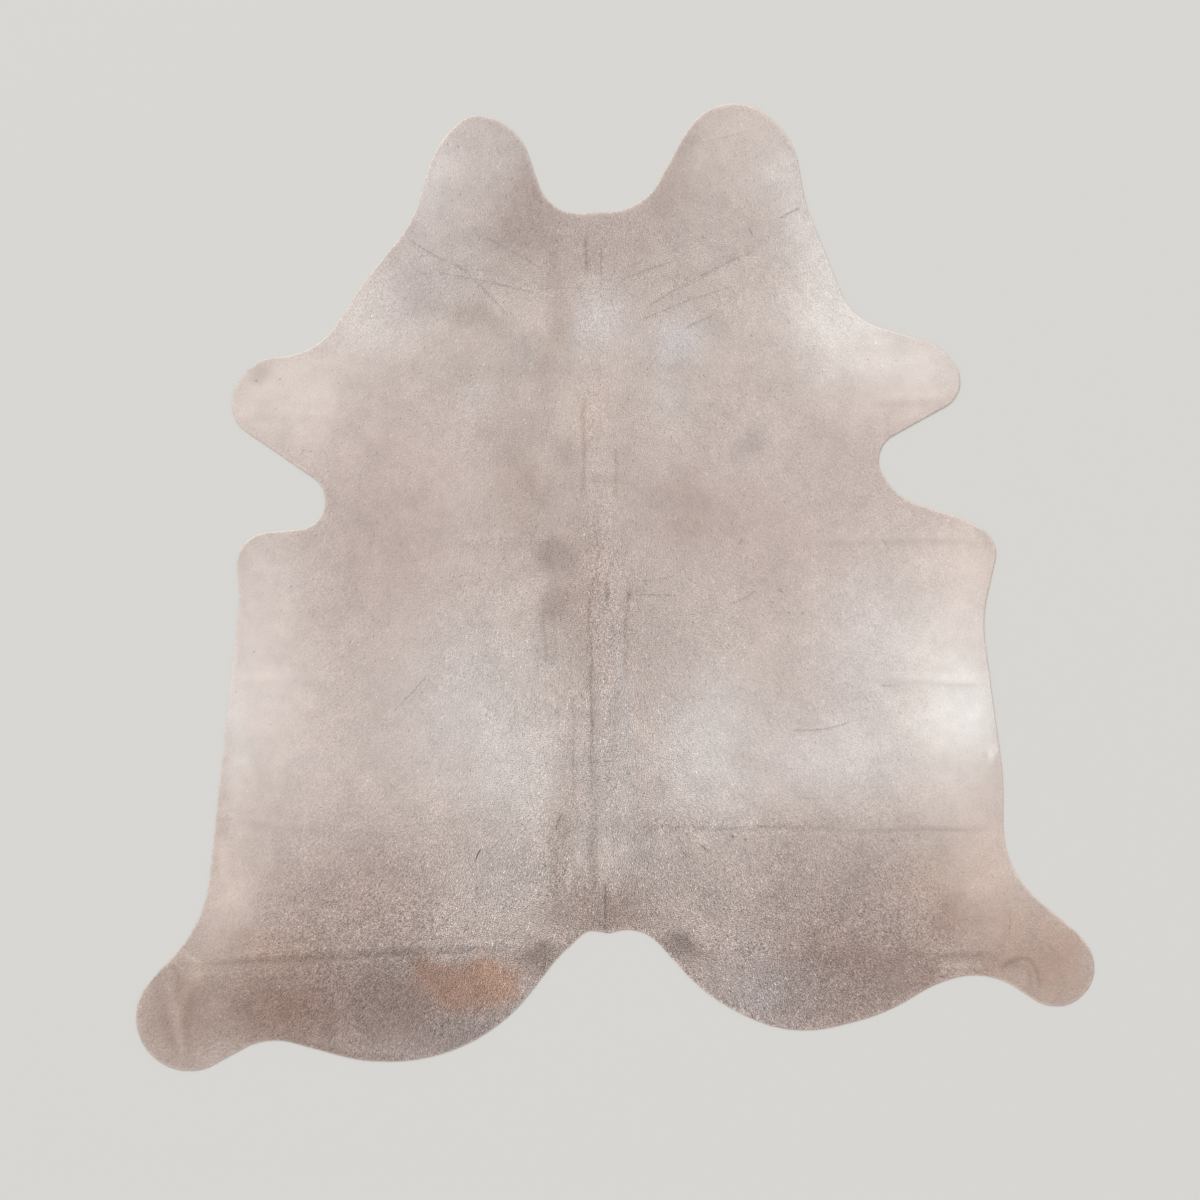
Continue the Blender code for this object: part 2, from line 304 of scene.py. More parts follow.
def inside(points, line):
    """Which points lie inside a closed line, by counting the sides that a ray towards +X crosses."""
    ax, ay = line[:, 0], line[:, 1]
    bx, by = np.roll(line, -1, axis=0).T
    rise = np.where(by == ay, 1.0, by - ay)
    parts = []
    for part in np.array_split(points, max(1, len(points) // CHUNK)):
        x, y = part[:, 0, None], part[:, 1, None]
        crossing = ax + (y - ay) * (bx - ax) / rise
        parts.append((((ay > y) != (by > y)) & (crossing > x)).sum(axis=1) % 2 == 1)
    return np.concatenate(parts)


def read_lattice(values, points):
    """The lattice's values between its points, weighted by nearness along x and along y."""
    place = (points - lattice_low) / LATTICE_STEP
    corner = np.clip(np.floor(place).astype(int), 0, lattice_count - 2)
    i, j = corner.T
    s, t = (place - corner).T
    low_row = values[i, j] * (1 - s) + values[i + 1, j] * s
    return low_row * (1 - t) + (values[i, j + 1] * (1 - s) + values[i + 1, j + 1] * s) * t


columns, rows = (lattice_low[k] + LATTICE_STEP * np.arange(lattice_count[k]) for k in (0, 1))
lattice = np.stack(np.meshgrid(columns, rows, indexing="ij"), axis=-1).reshape(-1, 2)
depth_lattice = nearest(lattice, edge) * np.where(inside(lattice, edge), 1, -1)
depth_lattice = depth_lattice.reshape(lattice_count)


def depth(points):
    """How far each point lies inside the cut, in millimetres, less than 0 outside it."""
    return read_lattice(depth_lattice, points)


print("the hide's widest inside is", round(depth_lattice.max()), "mm from the cut")

# %% [markdown]
# ## The relief
#
# The hide is thickest along the spine and thins towards the belly. It was packed folded, so it keeps soft
# creases across it, and its neck and hocks have wrinkles of their own. Cloth simulation would make other
# creases than the ones it has, so each is given one by one, as a line with a bow, a width and a height.
# %% Folds and wrinkles, in millimetres
Fold = namedtuple("Fold", "place start_x start_y end_x end_y bow half_width height")
PACKING_FOLDS = (
    Fold("rump, left", -890, -783, -195, -745, 8, 13, 2.8),
    Fold("rump, left, its trough", -880, -804, -240, -766, 8, 12, -0.9),
    Fold("rump, right", 180, -748, 800, -776, 6, 20, 1.3),
    Fold("loin, left", -835, -491, -590, -496, 0, 18, 1.2),
    Fold("loin, right", -20, -494, 800, -502, -4, 20, -0.9),
    Fold("flank, left", -790, -197, -600, -193, 2, 18, 1.2),
    Fold("flank, right", 520, -195, 778, -202, 3, 18, 1.3),
    Fold("chest, left", -370, 92, -110, 102, 3, 18, 0.8),
    Fold("chest, right", 345, 96, 785, 97, 2, 18, 1.1),
    Fold("front shank, left", -785, 358, -565, 354, 2, 18, 1.0),
    Fold("front shank, right", 500, 386, 705, 394, -2, 18, 1.0),
)
WRINKLES = (
    Fold("hock, left, upper", -925, -778, -884, -834, 4, 15, 2.4),
    Fold("hock, left, lower", -884, -834, -890, -1000, -14, 17, 3.0),
    Fold("hock, left, hollow", -962, -806, -912, -985, -6, 20, -1.8),
    Fold("rump, left, soft ridge", -575, -830, -570, -975, 0, 16, 1.2),
    Fold("hock, right, long", 606, -767, 790, -764, 3, 16, 1.4),
    Fold("hock, right, upper", 812, -668, 800, -752, 5, 16, 1.1),
    Fold("hock, right, outer", 796, -790, 890, -802, 14, 16, 1.6),
    Fold("hock, right, lower", 856, -806, 878, -858, -5, 15, 1.4),
    Fold("neck, left", -425, 722, -100, 616, -22, 17, -0.8),
    Fold("neck, right", 20, 612, 385, 772, -30, 17, -0.8),
    Fold("neck, right, lower", 130, 560, 320, 640, -8, 16, -0.6),
)
BACKBONE = (
    Fold("ridge", -50, 770, -28, -700, 6, 48, 0.7),
    Fold("groove", -44, -110, -24, -706, 3, 15, -0.9),
)
FOLDS = PACKING_FOLDS + WRINKLES + BACKBONE
Swell = namedtuple("Swell", "place x y radius height")
SWELLS = (
    Swell("flank edge, right", 745, -330, 120, 1.3),
    Swell("flank edge, left", -765, -120, 110, 1.0),
    Swell("rump rim, left", -376, -915, 75, 1.3),
    Swell("rump rim, right", 590, -800, 90, 0.9),
    Swell("hind shank, right", 940, -790, 70, 0.8),
    Swell("front shank, left", -740, 420, 80, 0.8),
    Swell("front shank, right", 640, 430, 80, 0.8),
    Swell("cheek, right", 270, 900, 110, 0.7),
    Swell("cheek, left", -280, 890, 100, 0.7),
    Swell("shoulder, left", -330, 380, 180, -0.5),
    Swell("shoulder, right", 280, 320, 200, -0.5),
)

# %% Height of the hair side
SPINE_THICKNESS, BELLY_THICKNESS, EDGE_THICKNESS = 4.4, 3.2, 2.4
SPINE_X, BACK_HALF_WIDTH = -45, 420
FOLD_FADE, FOLD_END_HEIGHT = 0.2, 0.15
# The rounded rim: how far in, and how much of the full thickness the hair side has reached there
RIM_DEPTHS, RIM_SHARES = (0, 3.5, 11), (0, 0.55, 1)
LATTICE_VALUES = 64
UNEVEN = ((150, 0.35), (60, 0.22), (26, 0.12))


def line_weight(line, points, fade):
    """1 on a bowed line's crest and (1 - d^2)^2 at d half widths off it, fading over its ends."""
    start = np.array([line.start_x, line.start_y], float)
    way = np.array([line.end_x, line.end_y], float) - start
    length = np.hypot(*way)
    way /= length
    share = (points - start) @ way / length
    off = (points - start) @ np.array([-way[1], way[0]]) - 4 * line.bow * share * (1 - share)
    across = np.clip(1 - (off / line.half_width) ** 2, 0, 1) ** 2
    return across * np.clip(np.minimum(share, 1 - share) / fade + FOLD_END_HEIGHT, 0, 1)


def cloudy(points, size, seed):
    """Smooth noise from -1 to 1: random values on a square lattice, joined by 3t^2 - 2t^3 along x and y."""
    values = np.random.default_rng(seed).uniform(-1, 1, (LATTICE_VALUES, LATTICE_VALUES))
    place = points / size
    corner = np.floor(place).astype(int)
    s, t = ((place - corner) ** 2 * (3 - 2 * (place - corner))).T
    i, j = (corner % LATTICE_VALUES).T
    i2, j2 = ((corner + 1) % LATTICE_VALUES).T
    low_row = values[i, j] * (1 - s) + values[i2, j] * s
    return low_row * (1 - t) + (values[i, j2] * (1 - s) + values[i2, j2] * s) * t


def hair_side(points):
    """Height of the hair side: a bell curve from belly to back, with folds, swells and unevenness.

    Near the cut it rounds down: edge + (height - edge) * a share that grows with the distance from the cut.
    """
    height = BELLY_THICKNESS + (SPINE_THICKNESS - BELLY_THICKNESS) * np.exp(
        -(((points[:, 0] - SPINE_X) / BACK_HALF_WIDTH) ** 2)
    )
    for fold in FOLDS:
        height += fold.height * line_weight(fold, points, FOLD_FADE)
    for swell in SWELLS:
        off = ((points[:, 0] - swell.x) ** 2 + (points[:, 1] - swell.y) ** 2) / swell.radius**2
        height += swell.height * np.clip(1 - off, 0, 1) ** 2
    for seed, (size, amount) in enumerate(UNEVEN):
        height += amount * cloudy(points, size, seed)
    rim = np.interp(depth(points), RIM_DEPTHS, RIM_SHARES)
    return EDGE_THICKNESS + (height - EDGE_THICKNESS) * rim


print("thickness at the withers", hair_side(np.array([[SPINE_X, 300.0]])).round(2), "mm")

# %% [markdown]
# ## The colours of the coat
#
# The coat is cream at the belly, shanks and shoulders, greyer along the back and grey-brown on the rump, with
# one tan patch near the tail. Spotted or striped noise would put these anywhere, so they are listed one by
# one:
# each patch is a soft oval with a colour, and noise bends its outline so that no oval shows.
# %% Patches of colour, sizes in millimetres
GROUND = "C1B1A9"
Patch = namedtuple("Patch", "place x y half_x half_y turn edge colour share")
HEAD_PATCHES = (
    Patch("cheek, left", -285, 890, 130, 145, 0, 1.0, "C2B5AE", 0.85),
    Patch("cheek, right", 255, 880, 150, 165, 0, 1.0, "CCBEB6", 0.85),
    Patch("cheek, left, outer edge", -380, 820, 45, 115, -20, 1.0, "DFD8D6", 0.6),
    Patch("cheek, right, outer edge", 365, 810, 45, 125, 20, 1.0, "D6CECB", 0.5),
    Patch("neck, left", -305, 705, 165, 105, 0, 1.0, "BBAEA8", 0.7),
    Patch("neck, left, inner", -190, 750, 95, 75, 20, 1.0, "9F8B83", 0.7),
    Patch("neck, right", 155, 725, 190, 125, 0, 1.0, "B9AAA3", 0.7),
    Patch("neck, right, inner", 105, 830, 50, 100, -25, 1.0, "AD9A92", 0.6),
    Patch("poll", -30, 715, 125, 95, 0, 1.0, "AF9D95", 0.7),
    Patch("neck edge, left", -465, 650, 65, 145, -38, 1.0, "C1B3AE", 0.8),
    Patch("neck edge, right", 435, 695, 60, 155, 18, 1.0, "DFD7D3", 0.8),
)
FORE_PATCHES = (
    Patch("shoulder, right", 480, 545, 115, 110, 0, 1.0, "E6DED8", 0.9),
    Patch("shoulder, left", -520, 570, 135, 100, 0, 1.0, "DED3CC", 0.8),
    Patch("front shank, left", -680, 395, 165, 105, 0, 1.2, "DCCEC6", 0.9),
    Patch("front shank, right", 615, 460, 165, 110, 0, 1.2, "E1D6CF", 0.9),
    Patch("front shank, right, rear", 595, 380, 125, 40, 0, 1.0, "DECBBF", 0.5),
    Patch("chest, left", -480, 285, 200, 125, 0, 1.0, "CBB8AF", 0.7),
    Patch("side, left", -460, 55, 165, 165, 0, 1.0, "C1ABA2", 0.7),
    Patch("chest, right", 430, 285, 200, 125, 0, 1.0, "C7B5AD", 0.7),
    Patch("side, right", 365, 90, 165, 125, 0, 1.0, "C1ADA5", 0.7),
    Patch("shoulder, right, inner", 387, 620, 63, 84, 0, 1.0, "DED4CD", 0.6),
    Patch("shoulder, left, inner", -411, 610, 94, 50, 35, 1.0, "B2A6A2", 0.55),
    Patch("side, left, dark", -470, 140, 115, 167, 0, 1.0, "B4A19A", 0.6),
    Patch("side, right, dark", 157, 161, 125, 94, 0, 1.0, "AC968D", 0.6),
)
FLANK_PATCHES = (
    Patch("flank corner, left", -715, 40, 90, 90, 0, 1.0, "C5B5AE", 0.8),
    Patch("flank corner, right", 710, 55, 95, 85, 0, 1.0, "D2BEB3", 0.8),
    Patch("flank, left", -740, -195, 105, 270, 2, 1.0, "DCCEC7", 0.85),
    Patch("flank, right", 690, -215, 135, 250, -2, 1.0, "EAE0D8", 0.85),
    # Painted light: the right flank's brightest part is partly pale hair and partly the light falling there.
    Patch("flank, right, brightest", 735, -260, 75, 105, 0, 1.0, "E7E3DF", 0.8),
    Patch("loin, left", -305, -235, 145, 190, 0, 1.0, "D0C6C2", 0.7),
    Patch("loin, left, inner", -205, -385, 80, 125, 0, 1.0, "D5CECA", 0.6),
    Patch("loin, right", 205, -330, 105, 155, 0, 1.0, "D7D5D4", 0.5),
    Patch("side, right, rear", 535, -130, 125, 165, 0, 1.0, "D9D0CD", 0.6),
    Patch("flank, left, rear", -595, -360, 125, 145, 0, 1.0, "D0BFB8", 0.6),
    Patch("loin, right, lower", 157, -372, 63, 94, 0, 1.0, "CBC1BC", 0.6),
    Patch("flank, right, inner", 470, -351, 146, 84, 0, 1.0, "D9D2D0", 0.6),
    Patch("flank edge, left", -792, -320, 30, 190, 2, 1.0, "E0D8D3", 0.6),
)
BACK_PATCHES = (
    Patch("spine, rear", -35, -385, 65, 315, 0, 1.3, "B4A8A2", 0.7),
    Patch("spine, middle", -75, -25, 95, 165, 0, 1.0, "AA9388", 0.7),
    Patch("back, right", 50, -110, 105, 165, 0, 1.0, "B5A59E", 0.6),
    Patch("back, left", -155, -130, 75, 145, 0, 1.0, "BEB3AC", 0.5),
    Patch("back, left, dark", -200, 200, 64, 115, 0, 1.0, "A08A7F", 0.45),
    Patch("spine, rear left", -108, -550, 25, 145, 0, 1.0, "96847B", 0.5),
    Patch("spine, rear right", 52, -571, 42, 125, 0, 1.0, "998D88", 0.5),
    Patch("tail root", -21, -680, 125, 58, 0, 1.0, "866E62", 0.6),
)
RUMP_PATCHES = (
    Patch("rump, left", -555, -655, 230, 155, 0, 1.0, "A79289", 0.85),
    Patch("rump, left, low", -450, -875, 270, 115, 0, 1.1, "87726A", 0.9),
    Patch("rump, left, middle", -440, -790, 70, 38, 0, 1.0, "9B8A84", 0.5),
    Patch("rump, left, corner", -225, -870, 60, 45, 30, 1.0, "AD9F99", 0.5),
    Patch("rump, left, above the tan", -250, -720, 75, 45, 0, 1.0, "B9A89F", 0.5),
    Patch("hock, left, rear", -650, -780, 75, 30, 0, 1.0, "8D776C", 0.5),
    Patch("rump, right", 480, -655, 250, 145, 0, 1.0, "A18E87", 0.85),
    Patch("rump, right, low", 410, -830, 250, 95, 5, 1.1, "7F6458", 0.9),
    Patch("rump, left, inner", -230, -625, 125, 125, 0, 1.0, "B5A8A2", 0.7),
    Patch("rump, right, inner", 155, -625, 105, 125, 0, 1.0, "AA9A93", 0.7),
    Patch("rump rim, left", -305, -935, 135, 60, 15, 1.0, "958682", 0.7),
    Patch("rump rim, right", 315, -840, 125, 85, 0, 1.0, "B8B4B6", 0.6),
    Patch("thigh, left", -810, -625, 60, 155, -5, 1.0, "D5C1B5", 0.85),
    Patch("thigh, right", 775, -615, 70, 145, 5, 1.0, "D5BDAF", 0.85),
    Patch("hock, left", -750, -865, 105, 95, 0, 1.0, "967C6F", 0.8),
    Patch("hind shank, left", -910, -885, 90, 125, 0, 1.2, "A2877A", 0.85),
    Patch("hock, right", 775, -750, 95, 85, 0, 1.0, "997C6F", 0.8),
    Patch("hock, right, upper", 830, -700, 75, 42, 25, 1.0, "C3A99A", 0.6),
    Patch("hock, right, inner", 745, -718, 48, 34, 0, 1.0, "BCA89C", 0.5),
    Patch("hind shank, right, outer", 955, -745, 60, 60, -30, 1.2, "D8BCAC", 0.6),
    Patch("hock, right, grey", 610, -765, 60, 40, 0, 1.0, "9D867A", 0.5),
    Patch("rump, right, brown", 690, -690, 50, 40, 0, 1.0, "9A7C6F", 0.5),
    Patch("hind shank, right", 920, -785, 85, 95, 0, 1.2, "AE9181", 0.85),
    Patch("rump, left, dark", -658, -884, 84, 73, 0, 1.0, "7E5E4F", 0.5),
    Patch("rump rim, right, outer", 491, -832, 105, 58, 0, 1.0, "AA9993", 0.5),
    Patch("thigh, right, inner", 648, -613, 84, 84, 0, 1.0, "BCA08F", 0.5),
    Patch("hock, left, upper", -725, -755, 105, 46, 0, 1.0, "AB8D7D", 0.6),
    Patch("hock, right, dark", 732, -759, 52, 42, 0, 1.0, "AF9A90", 0.5),
)
SMALL_PATCHES = (
    Patch("tan patch", -304, -830, 98, 54, 0, 3.0, "9E7C6B", 0.92),
    Patch("tan patch, left", -380, -802, 36, 28, 0, 2.0, "9B7C6C", 0.9),
    Patch("tan patch, right", -240, -811, 48, 36, 0, 1.6, "B38C75", 0.6),
    Patch("tan patch, tip", -228, -853, 27, 18, 0, 1.6, "B18C77", 0.7),
    Patch("spine, white", -30, 558, 60, 72, 0, 1.2, "CBC1BD", 0.8),
    Patch("beside the spine, left", -130, 522, 25, 130, -12, 1.0, "AF9B91", 0.6),
    Patch("spine, worn", -32, 345, 36, 105, 0, 1.4, "C3B0A7", 0.75),
    Patch("sheen, withers right", 132, 508, 58, 50, 0, 1.0, "C3BFC0", 0.7),
    Patch("sheen, withers left", -196, 496, 32, 44, 10, 1.0, "A69A95", 0.5),
    Patch("sheen, shoulder left", -290, 388, 36, 32, 0, 1.0, "C2B7B3", 0.5),
    Patch("sheen, shoulder right", 112, 392, 44, 34, 0, 1.0, "C5BFBD", 0.4),
    Patch("grey spot, right", 282, 292, 28, 46, -32, 1.3, "AFA19C", 0.75),
    Patch("front shank, left, speckle", -746, 436, 34, 30, 0, 1.4, "BDAEA7", 0.7),
    Patch("smudge, back", -120, 56, 32, 46, 0, 2.0, "A08F87", 0.62),
    Patch("smudge, back, rear", -120, -28, 34, 30, 0, 1.8, "9C8981", 0.6),
    Patch("smudge, spine", -21, -18, 7, 24, 0, 1.2, "907F77", 0.75),
    Patch("smudge, spine, right", 25, -14, 6, 10, 0, 1.2, "84726A", 0.5),
    Patch("smudge, tail left", -158, -772, 44, 40, 0, 1.2, "67544C", 0.5),
    Patch("smudge, tail right", 132, -752, 54, 27, -25, 1.2, "6C5953", 0.5),
    # Painted light: the left hock's pucker is drawn paler on the slope that faces the light.
    Patch("hock, left, pucker", -886, -799, 26, 26, 0, 1.3, "C5AE9F", 0.6),
    Patch("hock, right, lobe", 831, -808, 24, 18, 20, 1.3, "B79D8F", 0.6),
    Patch("edge flap", 785, -350, 13, 20, 0, 1.5, "F1EAE4", 0.5),
    # Painted shade: the end of the fold below the left notch.
    Patch("edge notch, left", -815, -508, 22, 18, 0, 1.0, "BBAAA2", 0.4),
    Patch("neck, left, shade", -302, 558, 72, 30, -22, 1.0, "97877F", 0.45),
    Patch("worn hair, lower end", -22, 224, 40, 20, 0, 1.2, "A08D83", 0.4),
    Patch("cheek, right, inner edge", 150, 935, 34, 66, -25, 1.0, "A9988F", 0.45),
    Patch("neck, left, inner edge", -165, 830, 26, 60, 15, 1.0, "98857C", 0.45),
    Patch("beside the worn hair, left", -113, 284, 28, 40, 0, 1.0, "A8958B", 0.4),
    Patch("beside the worn hair, right", 24, 275, 17, 45, 0, 1.0, "A8968C", 0.45),
    Patch("back, right, upper", 48, 182, 38, 36, 0, 1.0, "A6958C", 0.35),
    Patch("rump rim, right, notch", 661, -815, 40, 22, 0, 1.0, "90756A", 0.5),
    Patch("loin, right, second spot", 238, -293, 26, 26, 0, 1.0, "B8ACA6", 0.4),
    Patch("loin, right, spot", 276, -353, 32, 32, 0, 1.0, "B2A49D", 0.5),
    Patch("beside the poll, left", -129, 683, 17, 84, 0, 1.0, "A8958D", 0.5),
    Patch("spine, tan", -73, 359, 42, 58, 0, 1.0, "CDB8AA", 0.6),
)
PATCHES = HEAD_PATCHES + FORE_PATCHES + FLANK_PATCHES + BACK_PATCHES + RUMP_PATCHES + SMALL_PATCHES

# %% Scratches and flecks, in millimetres
Scratch = namedtuple("Scratch", "place start_x start_y end_x end_y bow half_width share")
SCRATCHES = (
    Scratch("belly, right, long", 369, -298, 496, -279, -8, 1.8, 0.45),
    Scratch("side, right, curl", 234, -35, 293, -6, -6, 1.6, 0.4),
    Scratch("side, right, short", 386, -57, 396, -52, 0, 2.0, 0.5),
    Scratch("fold, right, hook", 257, 89, 265, 105, -2, 1.8, 0.5),
    Scratch("fold, right, second hook", 554, 101, 566, 87, 2, 1.8, 0.35),
    Scratch("side, right, fleck", 343, -4, 351, -11, 0, 1.8, 0.4),
    Scratch("belly, right, dash", 556, -205, 580, -206, 0, 1.8, 0.45),
    Scratch("belly, right, second dash", 463, -235, 475, -250, 0, 1.8, 0.35),
    Scratch("back, right, line", 44, 14, 124, 23, -4, 2.0, 0.35),
    Scratch("back, right, second line", 32, -17, 144, -19, 2, 2.0, 0.35),
    Scratch("loin, left, long", -384, -176, -462, -260, 1, 1.8, 0.35),
    Scratch("rump, left, cut", -292, -575, -278, -546, 2, 2.4, 0.9),
    Scratch("rump, left, second cut", -261, -553, -240, -529, 1, 2.2, 0.5),
    Scratch("back, scar", -122, -508, -108, -473, 4, 2.6, 0.65),
    Scratch("back, second scar", -19, -433, 4, -414, -2, 2.4, 0.6),
    Scratch("tail, dark hair", -20, -621, -21, -719, 1, 4.0, 0.55),
    Scratch("rump, right, dash", 141, -551, 149, -562, 0, 2.4, 0.9),
    Scratch("rump, right, second dash", 174, -535, 195, -550, 0, 2.4, 0.75),
    Scratch("neck, right, cut", 274, 758, 289, 729, 1, 1.8, 0.6),
    Scratch("neck edge, right", 343, 769, 387, 792, 1, 3.0, 0.45),
    Scratch("cheek, right, line", 188, 930, 276, 953, -2, 2.2, 0.2),
    Scratch("neck, left, long", -435, 729, -303, 660, -5, 2.6, 0.32),
    Scratch("neck, left, second", -368, 656, -169, 614, 3, 2.6, 0.34),
    Scratch("neck, left, third", -290, 738, -144, 658, 4, 2.4, 0.25),
    Scratch("neck, left, steep", -345, 687, -221, 564, 4, 2.4, 0.3),
    Scratch("neck, middle", -169, 621, -4, 621, 3, 2.4, 0.22),
    Scratch("neck, right, long", 65, 583, 295, 704, 6, 2.6, 0.32),
    Scratch("neck, right, second", 48, 554, 253, 629, 5, 2.4, 0.3),
    Scratch("neck, right, third", 12, 640, 119, 679, 2, 2.4, 0.3),
    Scratch("neck, right, fourth", 144, 539, 205, 566, 2, 2.6, 0.35),
    Scratch("poll, line", -62, 733, -62, 664, 0, 2.6, 0.12),
    Scratch("poll, second line", -29, 725, -29, 622, 0, 2.2, 0.25),
    Scratch("hock, right, seam", 824, -669, 824, -728, 0, 1.8, 0.25),
)
Fleck = namedtuple("Fleck", "place x y radius share")
FLECKS = (
    Fleck("front shank, left", -748, 430, 3.2, 0.8),
    Fleck("front shank, left, second", -698, 435, 2.4, 0.4),
    Fleck("side, left", -437, 201, 2.6, 0.5),
    Fleck("loin, left", -500, -155, 2.6, 0.5),
    Fleck("flank, left", -752, -135, 2.6, 0.5),
    Fleck("loin, right", 182, -234, 2.6, 0.45),
    Fleck("loin, right, lower", 184, -328, 2.6, 0.45),
    Fleck("flank, right", 368, -378, 3.2, 0.55),
    Fleck("side, right", 652, -71, 2.6, 0.45),
    Fleck("side, right, second", 524, -234, 2.4, 0.35),
    Fleck("back", 29, -16, 3.4, 0.7),
    Fleck("rump, right", 245, -520, 4.2, 0.9),
    Fleck("rump, right, second", 272, -528, 4.0, 0.8),
    Fleck("hock, right", 665, -690, 3.2, 0.6),
    Fleck("rump, right, low", 294, -668, 2.8, 0.5),
    Fleck("cheek, left", -328, 921, 3.4, 0.5),
    Fleck("cheek, right", 245, 850, 2.8, 0.55),
    Fleck("cheek, right, second", 274, 849, 2.8, 0.45),
    Fleck("neck edge, right", 406, 668, 2.6, 0.5),
)
MARK_COLOUR = "4E4744"
# Hair lies over a scratch here and there, which breaks its line up: how long the breaks are, and the share of
# the line that shows, with its swing.
BROKEN, BROKEN_SEED = 13, 50
SHOWING, SHOWING_SWING = 0.75, 0.6
SCRATCH_FADE = 0.1

# %% Streaks along the back, and painted light and shade along the folds and the hocks, in millimetres
Streak = namedtuple("Streak", "place start_x start_y end_x end_y bow half_width colour share")
BACK_STREAKS = (
    Streak("backbone, dark", -50, -110, -44, -720, 3, 13, "B0A099", 0.5),
    Streak("backbone, dark, left", -84, -60, -92, -640, 3, 16, "B8AAA3", 0.4),
    Streak("backbone, pale", -22, 330, -20, -640, 2, 20, "CCBEB7", 0.2),
    Streak("backbone, pale, right", 10, -80, 20, -560, 2, 22, "BFB8B6", 0.3),
    Streak("withers, edge of the worn hair", -62, 400, -64, 200, 0, 6, "C3B2A6", 0.2),
    Streak("loin, line", -123, -550, -123, -705, 1, 9, "A18F86", 0.4),
    Streak("loin, second line", -84, -540, -83, -705, 1, 8, "A28F87", 0.4),
    Streak("backbone, line", -53, 10, -52, -430, 2, 5, "8C776C", 0.45),
    Streak("backbone, second line", -88, -210, -87, -450, 0, 5, "93807A", 0.35),
    Streak("backbone, brown, low", -46, -480, -46, -650, 0, 14, "8F7E75", 0.4),
    Streak("back, brown line, left", -146, -40, -145, -160, 0, 5, "96827A", 0.4),
    Streak("back, second brown line, left", -125, -40, -124, -150, 0, 4, "96827A", 0.3),
    Streak("back, brown line, right", 27, -5, 24, -195, 0, 7, "9A867B", 0.35),
    Streak("worn hair, left edge", -67, 395, -66, 180, 0, 7, "9A8679", 0.45),
    Streak("worn hair, right edge", 2, 300, 3, 185, 0, 5, "9A8679", 0.45),
    Streak("poll, brown line", -60, 755, -60, 650, 0, 5, "8C786F", 0.45),
    Streak("tail, middle", -19, -610, -20, -722, 0, 12, "988880", 0.6),
)
# Painted light and shade: the lit and shaded sides of folds, ridges and the rump's curled rim, as streaks.
PAINTED_FOLD_SHADING = (
    Streak("rump fold, light", -880, -770, -200, -731, 10, 9, "A59289", 0.35),
    Streak("rump fold, dark", -857, -786, -230, -755, 0, 7, "8B776D", 0.5),
    Streak("loin fold, right, dark", -20, -496, 800, -504, -4, 7, "9C8A82", 0.45),
    Streak("loin fold, left, dark", -840, -488, -590, -496, 0, 8, "C3B4AC", 0.35),
    Streak("flank fold, right, dark", 460, -200, 782, -204, 3, 7, "CCC1BA", 0.35),
    Streak("chest fold, right, dark", 340, 92, 785, 94, 2, 8, "C0B0A8", 0.4),
    Streak("front shank fold, right", 400, 372, 700, 390, -2, 8, "CEBCB3", 0.5),
    Streak("front shank fold, left", -780, 352, -560, 350, 0, 7, "D2C3BA", 0.35),
    Streak("edge flap, side", 769, -333, 771, -376, 0, 3.5, "BFB3AC", 0.4),
    Streak("edge flap, end", 770, -378, 803, -379, 0, 4, "C1B4AC", 0.5),
    Streak("edge notch, left", -834, -487, -792, -484, 0, 5, "B19F97", 0.5),
    Streak("rump, left, soft ridge", -575, -835, -570, -980, 0, 14, "AB9589", 0.45),
    Streak("rump, left, rim", -720, -938, -430, -990, -6, 15, "7E6A61", 0.35),
    Streak("rump, left, second ridge", -376, -850, -374, -968, 0, 14, "A3938C", 0.3),
)
# Painted light and shade: the lit ridges and shaded hollows of the hocks' wrinkles.
PAINTED_HOCK_SHADING = (
    Streak("hock, left, hollow", -955, -838, -912, -978, -2, 14, "9E877C", 0.55),
    Streak("hock, left, ridge", -936, -812, -891, -1004, -3, 16, "B6A298", 0.6),
    Streak("hock, left, pucker", -925, -784, -900, -834, 0, 5, "A08777", 0.5),
    Streak("hock, left, curl", -900, -760, -859, -783, -3, 6, "D5C1B3", 0.55),
    Streak("hock, right, wrinkle", 668, -774, 780, -764, 2, 7, "978073", 0.55),
    Streak("hock, right, light", 672, -792, 776, -788, 0, 13, "BEAA9D", 0.55),
    Streak("hock, right, arch", 803, -794, 878, -786, 18, 8, "8E7364", 0.6),
    Streak("hock, right, short wrinkle", 877, -786, 889, -834, 2, 6, "957A6B", 0.55),
    Streak("hock, right, second wrinkle", 863, -796, 869, -830, 0, 5, "997E70", 0.45),
    Streak("hock, right, fold", 888, -790, 990, -792, 0, 5, "B19788", 0.4),
)
# The back's streaks are the coat's own colour. The rest are painted light and shade.
STREAKS_AND_PAINTED_SHADING = BACK_STREAKS + PAINTED_FOLD_SHADING + PAINTED_HOCK_SHADING

# %% The coat's colour at any place
# How far outlines are bent, in millimetres, as pairs of a size and an amount. Streaks are bent less.
RAGGED, RAGGED_SEEDS = ((70, 16), (24, 7)), (20, 30)
STREAK_BENT, STREAK_FADE = 0.25, 0.15
MOTTLE = ((110, 0.5), (46, 0.6), (19, 0.65), (9, 0.4))
# The mottle is stronger where the coat is more speckled.
MOTTLE_AMOUNT, MOTTLE_BY_GRAIN, MOTTLE_SEED = 0.03, 0.2, 40
# On a pale floor a hide looks darker and pinker than it is, so its colours are drawn a shade paler and
# greyer.
PALER, GREYER = 1.03, 0.88
LUMA = np.array([0.3, 0.59, 0.11])
# Along the cut the coat is drawn as a thin pale line.
RIM_COLOUR, RIM_WIDTH, RIM_SHARE = "F4EAE0", 2.8, 0.55
